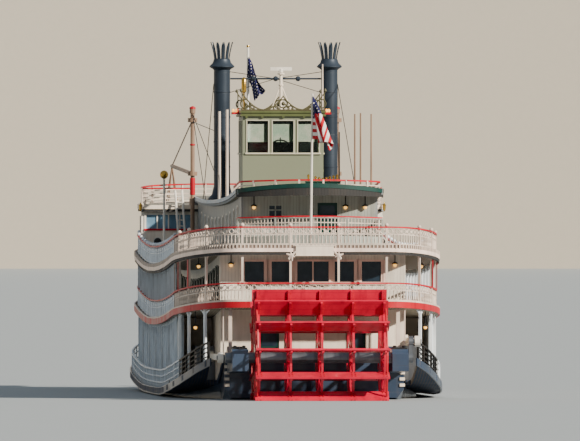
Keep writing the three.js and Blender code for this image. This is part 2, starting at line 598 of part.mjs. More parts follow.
function pilothouse() {
  const { half, aft, fore, wall, top, sill, head, eaves } = PILOTHOUSE;
  const shell = wide(-half, half, aft, fore).subtract(wide(wall - half, half - wall, aft + wall, fore - wall))
    .intersect(band("roof", GAP, "roof", 8)).intersect(box(-4, 4, 35, 42, 9, top - GAP));
  const cuts = [];
  for (const x of [-1.46, 0, 1.46]) cuts.push(box(x - 0.61, x + 0.61, aft - 1, fore + 1, sill, head));
  for (const s of [37.1, 38.25, 39.4]) cuts.push(box(-4, 4, s - 0.45, s + 0.45, sill, head));
  const doorway = box(half - 1, half + 1, DOOR.aft - 0.05, DOOR.fore + 0.05, DOOR.low - 0.05, DOOR.high + 0.05);
  add("pilothouse", shell.subtract(join(cuts)).subtract(doorway), COLOUR.white);
  const leaf = box(half - 0.09, half, DOOR.aft, DOOR.fore, DOOR.low, DOOR.high);
  const hinges = [DOOR.low + 0.3, DOOR.high - 0.3].map((z) => (
    bar([half + 0.04, DOOR.fore + 0.01, z], [half + 0.04, DOOR.fore + 0.01, z + 0.16], 0.05, 8)
  ));
  add("pilothouse_door", join(leaf, hinges), COLOUR.sage);

  const lid = box(-half - eaves, half + eaves, aft - eaves, fore + eaves, top, top + 0.3);
  const crest = crestPlate(half + 0.1);
  const placed = (s) => toSolid(crest.clone().translate(0, s, top + 0.3));
  const mast = bar([0, 38.2, top + 0.2], [0, 38.2, 18.5 - GAP], 0.1, 8);
  const whistle = join(
    bar([-2.2, 37, top + 0.2], [-2.2, 37, 17.3], 0.05, 8),
    bar([-2.2, 37, 17.3], [-2.2, 37, 18.2], 0.15, 8),
  );
  add("pilothouse_roof", join(lid, placed(aft), placed(fore + CREST.thickness), mast, whistle), COLOUR.sage);
  const scanner = box(-0.62, 0.62, 38.1, 38.3, 18.6, 18.8).add(bar([0, 38.2, 18.5], [0, 38.2, 18.7], 0.14, 8));
  add("radar_scanner", scanner, COLOUR.white);
}

function stacks() {
  for (const [side, sign] of MIRROR) {
    const x = sign * STACK.x;
    const foot = floor("roof", STACK.s) - 0.1;
    const { radius: r, collar, crown, feathers } = STACK;
    const profile = [
      [0, foot], [r + 0.35, foot], [r + 0.35, foot + 0.15], [r, foot + 0.9], [r, collar - 0.15],
      [r + 0.25, collar], [r, collar + 0.42], [r - 0.12, collar + 0.42], [r - 0.12, collar], [0, collar],
    ];
    const spikes = Array.from({ length: feathers }, (_, i) => {
      const angle = ((i + 0.5) / feathers) * Math.PI * 2;
      const out = (reach, z) => [x + reach * Math.cos(angle), STACK.s + reach * Math.sin(angle), z];
      return join(
        bar(out(r - 0.06, collar + 0.3), out(r - 0.02, (collar + crown) / 2 + 0.1), 0.055, 5),
        bar(out(r - 0.02, (collar + crown) / 2 + 0.05), out(r + 0.18, crown), 0.055, 5, 0.04),
      );
    });
    const pipe = turned(profile, 16, x, STACK.s);
    add(`stack_${side}`, seated("roof", join(pipe, spikes)), COLOUR.slate, 0.3);
  }
  const reach = STACK.x - STACK.radius - GAP - 0.006;
  const spreader = join(
    bar([-reach, STACK.s, 18.2], [reach, STACK.s, 18.2], 0.05, 8),
    [-1.3, 0, 1.3].map((x) => toSolid(
      new THREE.SphereGeometry(0.16, 6, 4).rotateX(Math.PI / 2).translate(x, STACK.s, 18.2),
    )),
  );
  add("stack_spreader", spreader, COLOUR.slate, 0.3);
}

// A flag's slab: its hoist is beside a staff, and it flies aft and to starboard as it droops
function hangingFlag(top, foot, clear, degrees, reach, droop) {
  const angle = THREE.MathUtils.degToRad(degrees);
  const along = new THREE.Vector3(Math.cos(angle), -Math.sin(angle), 0);
  const across = new THREE.Vector3(Math.sin(angle), Math.cos(angle), 0).multiplyScalar(0.03);
  const corner = (point, distance, drop) => (
    new THREE.Vector3(...point).addScaledVector(along, distance).add(new THREE.Vector3(0, 0, -drop))
  );
  const quad = [
    corner(foot, clear, 0), corner(foot, reach, droop), corner(top, reach, droop), corner(top, clear, 0),
  ];
  const points = [...quad.map((p) => p.clone().add(across)), ...quad.map((p) => p.clone().sub(across))];
  const geometry = new THREE.BufferGeometry();
  geometry.setAttribute("position", new THREE.Float32BufferAttribute(points.flatMap((p) => p.toArray()), 3));
  geometry.setIndex([
    0, 2, 1, 0, 3, 2, 4, 5, 6, 4, 6, 7, 0, 1, 5, 0, 5, 4, 1, 2, 6, 1, 6, 5, 2, 3, 7, 2, 7, 6, 3, 0, 4, 3, 4, 7,
  ]);
  return toSolid(geometry);
}

function fittings() {
  const z = floor("roof", 8.8) - 0.05;
  const whistles = [];
  for (let i = 0; i < 9; i += 1) {
    const x = -0.1 + i * 0.2;
    whistles.push(bar([x, 8.8, z + 0.3], [x, 8.8, z + 0.55 + 0.05 * Math.abs(i - 4)], 0.06, 6));
  }
  const manifold = box(-0.25, 1.65, 8.65, 8.95, z, z + 0.35);
  add("calliope", seated("roof", join(manifold, whistles)), COLOUR.brass, 0.9);

  const foot = floor("main", 74) - 0.1;
  add("jackstaff", seated("main", bar([0, 74, foot], [0, 74, 20.6], 0.14, 8, 0.07)), COLOUR.white);
  const lean = Math.tan(THREE.MathUtils.degToRad(STAFF.rake));
  const staffFoot = floor("hurricane", STAFF.s) - 0.1;
  const onStaff = (z) => [STAFF.x, STAFF.s - lean * (z - staffFoot), z];
  const staff = bar(onStaff(staffFoot), onStaff(STAFF.top), 0.08, 8, 0.05);
  add("verge_staff", seated("hurricane", staff), COLOUR.white);
  add("flag_ensign", hangingFlag(onStaff(16.8), onStaff(14.4), 0.06, 60, 1.9, 1.5), COLOUR.red);
  add("flag_jack", hangingFlag([0, 74, 19.9], [0, 74, 18.5], 0.084, 75, 0.9, 1.3), COLOUR.canvas);

  for (const [side, sign] of MIRROR) {
    const x = sign * MAST.x;
    const heel = floor("hurricane", MAST.s) - 0.1;
    add(`stage_mast_${side}`, seated("hurricane", join(
      bar([x, MAST.s, heel], [x, MAST.s, MAST.top], MAST.radius, 10),
      bar([x, MAST.s, MAST.top - 0.1], [x, MAST.s, MAST.top + 0.15], MAST.radius + 0.05, 10),
      bar([x, MAST.s, heel], [x, MAST.s, heel + 0.4], MAST.radius + 0.05, 10),
    )), COLOUR.white);
    const tip = [sign * STAGE.x, ...STAGE.tip];
    const heelPoint = [x, MAST.s + 0.4, MAST.boom];
    const lug = (z) => bar([x, MAST.s, z - 0.12], [x, MAST.s, z + 0.12], MAST.radius + 0.15, 12)
      .subtract(bar([x, MAST.s, z - 1], [x, MAST.s, z + 1], MAST.radius + RUNNING, 12));
    const topLug = MAST.top - 0.5;
    const hoist = [69.4, 77.4].flatMap((s) => [-1, 1].map((k) => (
      bar(tip, [sign * STAGE.x + k * 0.8, s, STAGE.z + STAGE.depth - 0.02], 0.04, 4)
    )));
    const deck = box(
      sign * STAGE.x - STAGE.half, sign * STAGE.x + STAGE.half, STAGE.aft, STAGE.fore,
      STAGE.z, STAGE.z + STAGE.depth,
    );
    const boom = join(
      bar(heelPoint, tip, STAGE.boomRadius, 8), bar([x, MAST.s + 0.22, topLug], tip, 0.04, 6),
      lug(MAST.boom), lug(topLug), bar([x, MAST.s + 0.2, MAST.boom], heelPoint, 0.1, 8), hoist, deck,
    );
    add(`landing_stage_${side}`, boom, COLOUR.wood);
  }
}

function bowStairs() {
  const steps = [];
  const top = floor("boiler", 67) - DECK;
  const count = 12;
  const start = 67 + GAP + 0.01;
  const run = 0.36;
  const base = floor("main", start + count * run);
  const rise = (top + DECK - base) / count;
  for (let i = 0; i < count; i += 1) {
    const z = base + rise * (count - i);
    steps.push(box(-1.5, 1.5, start + i * run, start + (i + 1) * run + 0.02, z - rise - 0.12, z - 0.04));
  }
  const stringer = (x) => {
    const side = new THREE.Shape([
      new THREE.Vector2(start, top + DECK - 0.05), new THREE.Vector2(start, top - 0.5),
      new THREE.Vector2(start + count * run - 0.9, base), new THREE.Vector2(start + count * run, base),
      new THREE.Vector2(start + count * run, base + rise),
    ]);
    return sideways(side, x, 0.12);
  };
  const solid = join(steps, stringer(-1.6), stringer(1.48)).intersect(band("main", GAP, "boiler", 1, 60, 76));
  add("bow_stairs", solid, COLOUR.wood);
}

hullAndDeck();
paddleWheel();
rudders();
mainHouse();
rails();
decks();
cabins();
texas();
lounge();
roofRails();
pilothouse();
stacks();
fittings();
bowStairs();

// The scale model: its origin is at the middle of the boat, on the flat of its bottom
boat.scale.setScalar(MODEL_MM_PER_METRE);
boat.position.set(0, (-(STERN + BOW) / 2) * MODEL_MM_PER_METRE, DRAFT * MODEL_MM_PER_METRE);

export default boat;
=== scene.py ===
# A sternwheel paddle steamer as a 1:10 scale model: its details, paint, flags, light and camera.
# Lengths are in metres of the full-size boat. X is to starboard, s is the distance forward of
# the paddle shaft and z is the height above the waterline. at() brings a point to the frame.
from math import cos, dist, hypot, inf, pi, radians, sin, sqrt, tan

import bpy
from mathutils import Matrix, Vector


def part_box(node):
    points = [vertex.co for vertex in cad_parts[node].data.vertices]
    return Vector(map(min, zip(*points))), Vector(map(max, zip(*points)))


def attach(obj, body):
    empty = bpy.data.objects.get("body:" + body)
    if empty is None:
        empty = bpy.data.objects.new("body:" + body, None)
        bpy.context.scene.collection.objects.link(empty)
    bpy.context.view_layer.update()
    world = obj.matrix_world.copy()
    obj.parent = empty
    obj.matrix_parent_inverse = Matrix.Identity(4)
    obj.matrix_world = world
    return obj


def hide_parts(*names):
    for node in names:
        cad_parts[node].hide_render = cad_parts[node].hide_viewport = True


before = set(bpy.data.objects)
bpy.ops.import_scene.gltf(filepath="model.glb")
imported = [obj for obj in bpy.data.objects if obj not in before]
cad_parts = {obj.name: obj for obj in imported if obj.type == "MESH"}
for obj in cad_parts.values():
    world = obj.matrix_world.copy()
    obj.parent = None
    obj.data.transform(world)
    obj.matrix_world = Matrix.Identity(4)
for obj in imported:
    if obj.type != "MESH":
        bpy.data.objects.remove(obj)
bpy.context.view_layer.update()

SCALE = 0.1
DRAFT = 1.83
WATERLINE = DRAFT * SCALE
HULL_AFT = 4.6
MIDDLE = HULL_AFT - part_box("hull")[0].y / SCALE
SIDES = (("port", -1), ("starboard", 1))

# Decks as the CAD has them: height amidships, rise aft and its power, and rise forward
SHEER = {"middle": 38.0, "aft_run": 33.5, "fore_run": 38.0}
DECKS = {
    "main": (0.45, 2.12, 6, 2.2),
    "boiler": (4.3, 1.1, 2, 2.2),
    "hurricane": (7.4, 1.1, 2, 2.2),
    "skylight": (8.15, 1.1, 2, 2.2),
    "roof": (11.1, 0.85, 3, 1.2),
    "lounge_roof": (10.52, 0.85, 3, 1.2),
}
DECK = 0.3  # the thickness of each deck
STATIONS = [1, 4.4, 6, 8, 10, 13, 17, 22, 28, 34, 42, 48, 54, 60, 65, 70, 73, 76, 82]
# Plans: aft end, its flat half and run, half width, fore end, its flat half and run
PLANS = {
    "main": (4.6, 4.6, 12.4, 7.8, 76, 0.4, 18),
    "boiler": (4.4, 4.2, 9.6, 7.44, 67, 3, 8),
    "hurricane": (4.4, 4.2, 9.6, 7.44, 66, 3, 7),
    "lounge": (57, 6.8, 0.5, 7.12, 65.4, 3, 6.4),
    "lounge_roof": (58.2, 6.9, 0.6, 7.25, 65.8, 3, 6.8),
}
SPLIT = 14.0  # where the aft railings meet the side railings
GUARD = {"corner": 5.8, "aft": 10.6, "fore": 72}  # the guards' dark corner rails end at aft
RAIL = {"inset": 0.17, "height": 1.05, "bottom": 0.14, "lace": 0.64, "baluster": 0.21, "posts": 2.6,
        "step": 0.5}
TRIM_STEP = 0.7  # the spacing of the points along a deck's trim
EAVES = DECK + 0.04  # how far the trim of a deck's edge reaches below its floor
SHARP = radians(35)  # faces that meet at more than this keep a crisp edge

WHEEL = {"z": 2.35, "arms": 15, "start": 12.0, "side": 3.66}
FLANGES = (-3.45, -1.725, 0, 1.725, 3.45)
CABIN = {"half": 5.14, "aft": 6.2, "fore": 60, "wall": 0.14}
HOUSE = {"half": 7.0, "fore": 60, "wall": 0.15, "inner_aft": 6.6}
TEXAS = {"half": 3.8, "aft": 9.5, "wall": 0.12}
SKYLIGHT = {"half": 4.05, "aft": 7.2}
ROOF = {"half": 4.05, "aft": 7.5}
STERN_ARC = 1.5  # how far the ends of the skylight deck and roof curve forward
LOUNGE = {"aft": 58.5, "wall": 0.14}
PILOT = {"half": 2.32, "aft": 36, "fore": 40.5, "wall": 0.12, "top": 15.95, "sill": 13.85,
         "head": 15.7, "eaves": 0.14}
CREST = {"dip_x": 1.15, "dip": 0.16, "peak": 0.95, "end": 1.2}
STACK = {"s": 43.8, "x": 3.12, "radius": 0.475, "collar": 18.9, "crown": 20.35, "feathers": 11}
MAST = {"s": 55.5, "x": 4.25, "radius": 0.13, "top": 16.4}
STAGE = {"x": 4.6, "aft": 67.4, "fore": 79.4, "z": 6.7, "depth": 0.3}
STAFF = {"x": -0.17, "s": 5.4, "rake": 12, "out": 0.06}
JACKSTAFF = {"s": 74, "top": 20.5, "out": 0.084}
CALLIOPE, BELL, CAPSTAN, RADAR_MAST = 8.8, 64, 72.2, 38.2  # the s of each
WHISTLE = (-2.2, 37)

# The photograph: its size, lens and horizon in pixels, and the part of it that is framed
PHOTO = {"width": 580, "focal": 5890, "centre": 290, "horizon": 224}
VIEW = {"middle": (319, 213), "zoom": 2.47, "heading": 2.92}
CAMERA = {"x": -46.3, "aft": 798.7, "z": 8.4}
SUN = {"towards": (0.72, -0.62, 0.52), "strength": 9.4, "spread": 2.0}


def at(x, s, z):
    """A point of the full-size boat, in the frame."""
    return Vector((x * SCALE, (s - MIDDLE) * SCALE, (z + DRAFT) * SCALE))


def sheer(deck, s):
    level, rise, power, fore_rise = DECKS[deck]
    if s > SHEER["middle"]:
        return level + fore_rise * ((s - SHEER["middle"]) / SHEER["fore_run"]) ** 2
    return level + rise * ((SHEER["middle"] - s) / SHEER["aft_run"]) ** power


def floor(deck, s):
    """A deck's height at s; its plating is straight between stations, as in the CAD."""
    after = next(i for i, station in enumerate(STATIONS) if station >= s)
    a, b = STATIONS[after - 1], STATIONS[after]
    share = (s - a) / (b - a)
    return sheer(deck, a) * (1 - share) + sheer(deck, b) * share


def angles(count, extra=0):
    """Evenly spaced angles round a circle, with the first again at the end where extra is 1."""
    return [2 * pi * k / count for k in range(count + extra)]


def new_object(name, data):
    made = bpy.data.objects.new(name, data)
    bpy.context.scene.collection.objects.link(made)
    return made


def new_mesh(name, points, faces, *materials):
    mesh = bpy.data.meshes.new(name)
    mesh.from_pydata(points, [], faces)
    for material in materials:
        mesh.materials.append(material)
    mesh.shade_smooth()
    return mesh


# Shapes


class Shape:
    """Points and faces in full-size metres, gathered into one mesh."""

    def __init__(self):
        self.points = []
        self.faces = []

    def add(self, points, faces):
        start = len(self.points)
        self.points.extend(points)
        self.faces.extend([[start + i for i in face] for face in faces])

    def block(self, origin, along, out, u, n, z):
        """A box whose sides lie along a level direction, its outward normal and the vertical."""
        corners = [
            (origin[0] + along[0] * length + out[0] * depth,
             origin[1] + along[1] * length + out[1] * depth, origin[2] + height)
            for height in z for depth in n for length in u
        ]
        self.add(corners, [
            (0, 2, 3, 1), (4, 5, 7, 6), (0, 1, 5, 4), (2, 6, 7, 3), (0, 4, 6, 2), (1, 3, 7, 5),
        ])

    def box(self, x, s, z):
        """A box square to the boat; the ends of x and of s come in either order."""
        self.block((0, 0, 0), (1, 0), (0, 1), sorted(x), sorted(s), z)

    def post(self, spot, half, z, depth=None):
        """An upright bar at a spot on a path, square where no depth is given."""
        x, s, tx, ts = spot
        self.block((x, s, 0), (tx, ts), (ts, -tx), (-half, half), depth or (-half, half), z)

    def rings(self, rings):
        """Rings of points joined in a row, with both ends capped."""
        count = len(rings[0])
        points = [p for ring in rings for p in ring]
        faces = []
        for a in range(0, len(points) - count, count):
            for k in range(count):
                m = (k + 1) % count
                faces.append((a + k, a + m, a + count + m, a + count + k))
        faces.append(tuple(reversed(range(count))))
        faces.append(tuple(range(len(points) - count, len(points))))
        self.add(points, faces)

    def rod(self, start, end, radius, sides=6, end_radius=None):
        """A round bar between two points."""
        a, b = Vector(start), Vector(end)
        line = (b - a).normalized()
        side = line.cross(Vector((0.31, 0.95, 0.05))).normalized()
        other = line.cross(side)
        self.rings([
            [tuple(centre + side * r * cos(t) + other * r * sin(t)) for t in angles(sides)]
            for centre, r in ((a, radius), (b, radius if end_radius is None else end_radius))
        ])

    def turned(self, centre, profile, sides=12):
        """A form turned about a vertical axis: profile holds radius and height."""
        x, s, base = centre
        self.rings([
            [(x + r * cos(t), s + r * sin(t), base + z) for t in angles(sides)]
            for r, z in profile
        ])

    def ball(self, centre, radius, sides=10):
        bands = [pi * i / 6 for i in range(7)]
        profile = [(max(0.001, radius * sin(t)), -radius * cos(t)) for t in bands]
        self.turned(centre, profile, sides)

    def sweep(self, path, width, depth):
        """A flat bar along a path: width is level and depth is downward from the path."""
        rings = []
        for i, point in enumerate(path):
            before, after = path[max(i - 1, 0)], path[min(i + 1, len(path) - 1)]
            run = Vector((after[0] - before[0], after[1] - before[1], 0)).normalized()
            side = Vector((run.y, -run.x, 0)) * width / 2
            top = Vector(point)
            low = top - Vector((0, 0, depth))
            rings.append([tuple(p) for p in (low - side, low + side, top + side, top - side)])
        self.rings(rings)

    def cable(self, path, radius, sides=5):
        """A round line through a list of points."""
        for a, b in zip(path, path[1:]):
            self.rod(a, b, radius, sides)

    def hoop(self, centre, radius, thick, count, along=(1, 0), sides=5):
        """A ring of round bar that stands upright along a level direction."""
        x, s, z = centre
        self.cable([(x + along[0] * radius * cos(t), s + along[1] * radius * cos(t),
                     z + radius * sin(t)) for t in angles(count, 1)], thick, sides)

    def make(self, name, look, body="boat", slot="", replaces=()):
        mesh = new_mesh(name, [at(*p) for p in self.points], self.faces, MATERIALS[look])
        mesh.set_sharp_from_angle(angle=SHARP)
        piece = new_object(name, mesh)
        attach(piece, body)
        if replaces:
            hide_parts(*replaces)


# Plans and paths


def plan_side(name, inset, steps=24):
    """The starboard edge of a deck from the stern's centreline to the bow's, as x and s."""
    aft, aft_flat, aft_run, half, fore, fore_flat, fore_run = PLANS[name]
    edge = [(0, aft + inset)]
    turns = [i / steps * pi / 2 for i in range(steps + 1)]
    for t in turns:
        x = aft_flat + (half - aft_flat - inset) * sin(t)
        edge.append((x, aft + aft_run - (aft_run - inset) * cos(t)))
    for t in reversed(turns):
        x = fore_flat + (half - fore_flat - inset) * sin(t)
        edge.append((x, fore - fore_run + (fore_run - inset) * cos(t)))
    edge.append((0, fore - inset))
    return edge


def whole_edge(plan, proud):
    """A deck's edge from the bow round the stern to the bow, moved outward by proud."""
    side = plan_side(plan, -proud)
    return [(-x, s) for x, s in reversed(side)] + side[1:]


def between(edge, low, high):
    """The stretch of an edge between two values of s, which only grows along it."""
    kept = []
    for (x0, s0), (x1, s1) in zip(edge, edge[1:]):
        if s1 == s0:
            if low < s0 < high:
                kept.extend([(x0, s0), (x1, s1)])
        elif s1 > low and s0 < high:
            for limit in (max(low, s0), min(high, s1)):
                share = (limit - s0) / (s1 - s0)
                kept.append((x0 + (x1 - x0) * share, limit))
    return kept


def edge_path(plan, part, inset=RAIL["inset"], low=-inf, high=inf):
    """A deck's edge as one path: round the stern for aft, otherwise one side from low to high."""
    if part == "aft":
        half = between(plan_side(plan, inset), -inf, SPLIT)
        return [(-x, s) for x, s in reversed(half)] + half
    sign = dict(SIDES)[part]
    return [(sign * x, s) for x, s in between(plan_side(plan, inset), low, high)]


def arc_path(strip, inset, fore):
    """The curved after edge of a strip of deck, with its sides as far forward as fore."""
    half = strip["half"] - inset
    arc = [k / 8 for k in range(-8, 9)]
    curve = [(half * u, strip["aft"] + inset + STERN_ARC * u * u) for u in arc]
    return [(-half, fore)] + curve + [(half, fore)]


def spaced(path, step):
    """Evenly spaced points on a path, each with the unit direction of the path there."""
    lengths = [dist(a, b) for a, b in zip(path, path[1:])]
    total = sum(lengths)
    count = max(1, round(total / step))
    found, done, i = [], 0.0, 0
    for k in range(count + 1):
        goal = total * k / count
        while i < len(lengths) - 1 and done + lengths[i] < goal:
            done += lengths[i]
            i += 1
        share = 0 if lengths[i] == 0 else min(1, (goal - done) / lengths[i])
        (x0, s0), (x1, s1) = path[i], path[i + 1]
        run = lengths[i] or 1
        found.append((
            x0 + (x1 - x0) * share, s0 + (s1 - s0) * share, (x1 - x0) / run, (s1 - s0) / run,
        ))
    return found


def lifted(path, deck, height):
    return [(p[0], p[1], floor(deck, p[1]) + height) for p in path]


# Materials


def srgb(red, green, blue):
    """A colour given as it looks in the picture, from 0 to 255."""
    return tuple(((c / 255 + 0.055) / 1.055) ** 2.4 for c in (red, green, blue)) + (1,)


def scaled(colour, share, lift=0.0):
    return tuple(min(1.0, c * share + lift) for c in colour[:3]) + (1,)


def node(tree, kind, inputs=None, **settings):
    made = tree.nodes.new("ShaderNode" + kind)
    for key, value in settings.items():
        setattr(made, key, value)
    for socket, value in (inputs or {}).items():
        if isinstance(value, bpy.types.NodeSocket):
            tree.links.new(value, made.inputs[socket])
        else:
            made.inputs[socket].default_value = value
    return made


def blend_colours(tree, share, first, second, mode="MIX"):
    made = node(tree, "Mix", {0: share, 6: first, 7: second}, data_type="RGBA", blend_type=mode)
    return made.outputs[2]


def ramp(tree, value, low, high, start=0.0, end=1.0):
    return node(tree, "MapRange", {
        "Value": value, "From Min": low, "From Max": high, "To Min": start, "To Max": end,
    }).outputs[0]


def noise(tree, place, scale, detail=2.0):
    return node(tree, "TexNoise", {"Vector": place, "Scale": scale, "Detail": detail}).outputs["Fac"]


def groove_mask(tree, place, grooves):
    """1 in the grooves between boards or plates, given as axis, spacing and width in metres."""
    parts = node(tree, "SeparateXYZ", {0: place})
    total = None
    for axis, spacing, width in grooves:
        wave = node(tree, "Math", {0: parts.outputs[axis], 1: spacing / 2}, operation="PINGPONG")
        line = ramp(tree, wave.outputs[0], width * 0.5, width, 1.0, 0.0)
        if total is None:
            total = line
        else:
            total = node(tree, "Math", {0: total, 1: line}, operation="MAXIMUM").outputs[0]
    return total


def by_facing(tree, top, side, under):
    """The colour of a deck's floor, of its edges or of its underside, by which way a face looks."""
    facing = node(tree, "SeparateXYZ", {0: node(tree, "TexCoord").outputs["Normal"]}).outputs[2]
    edged = blend_colours(tree, ramp(tree, facing, 0.4, 0.6), srgb(*side), srgb(*top))
    return blend_colours(tree, ramp(tree, facing, -0.4, -0.6), edged, srgb(*under))


def new_material(name):
    """A material with its node tree, its shader and the object coordinates that it is drawn in."""
    material = bpy.data.materials.new(name)
    material.use_nodes = True
    tree = material.node_tree
    return material, tree, tree.nodes["Principled BSDF"], node(tree, "TexCoord").outputs["Object"]


def paint(
    name, colour, rough=0.45, metal=0.0, shade=0.8, dirt=(70, 60, 50), dirty=0.35,
    grooves=(), bump=0.35, patch=5.0, coat=0.0, groove_dark=0.55, side=None, under=None, gloss=0.3,
):
    """A painted or plain surface: patches of tone, streaks of dirt, grooves and fine relief. On the shaded
    copies of a paint the streaks are a cool grey, part of their painted shade.
    """
    material, tree, shader, place = new_material(name)
    cloud = noise(tree, place, patch, 6.0)
    base = srgb(*colour)
    if side:
        lit = ramp(tree, cloud, 0.35, 0.65, shade, 1.0)
        tone = blend_colours(tree, 1.0, by_facing(tree, colour, side, under), lit, "MULTIPLY")
    else:
        tone = blend_colours(tree, ramp(tree, cloud, 0.35, 0.65), scaled(base, shade), base)
    stretched = node(tree, "Mapping", {"Vector": place, "Scale": (30.0, 30.0, 4.0)})
    streak = noise(tree, stretched.outputs[0], 1.0, 5.0)
    tone = blend_colours(tree, ramp(tree, streak, 0.5, 0.75, 0.0, dirty), tone, srgb(*dirt))
    height = ramp(tree, noise(tree, place, 180.0, 4.0), 0.3, 0.7, 0.0, 0.25)
    if grooves:
        mask = groove_mask(tree, place, grooves)
        tone = blend_colours(tree, mask, tone, scaled(base, groove_dark))
        height = node(tree, "Math", {0: height, 1: mask}, operation="SUBTRACT").outputs[0]
    tree.links.new(tone, shader.inputs["Base Color"])
    spread = ramp(tree, cloud, 0.3, 0.7, rough * 0.8, min(1.0, rough * 1.25))
    tree.links.new(spread, shader.inputs["Roughness"])
    shader.inputs["Specular IOR Level"].default_value = gloss
    shader.inputs["Metallic"].default_value = metal
    shader.inputs["Coat Weight"].default_value = coat
    relief = node(tree, "Bump", {"Height": height, "Strength": bump, "Distance": 0.0015})
    tree.links.new(relief.outputs[0], shader.inputs["Normal"])
    return material


def glass(name, colour, rough=0.08, clear=0.0):
    """Window glass: dark and glossy, or clear enough to look through."""
    material, tree, shader, place = new_material(name)
    smear = noise(tree, place, 14.0, 3.0)
    base = srgb(*colour)
    tone = blend_colours(tree, ramp(tree, smear, 0.4, 0.75), base, scaled(base, 1.6, 0.01))
    tree.links.new(tone, shader.inputs["Base Color"])
    tree.links.new(ramp(tree, smear, 0.3, 0.7, rough, rough * 3), shader.inputs["Roughness"])
    shader.inputs["Transmission Weight"].default_value = clear
    shader.inputs["IOR"].default_value = 1.45
    ripple = noise(tree, place, 25.0)
    relief = node(tree, "Bump", {"Height": ripple, "Strength": 0.08, "Distance": 0.001})
    tree.links.new(relief.outputs[0], shader.inputs["Normal"])
    return material


def lamp_glow(name, colour, strength):
    material = paint(name, colour, rough=0.3, dirty=0.05)
    shader = material.node_tree.nodes["Principled BSDF"]
    shader.inputs["Emission Color"].default_value = srgb(*colour)
    shader.inputs["Emission Strength"].default_value = strength
    return material


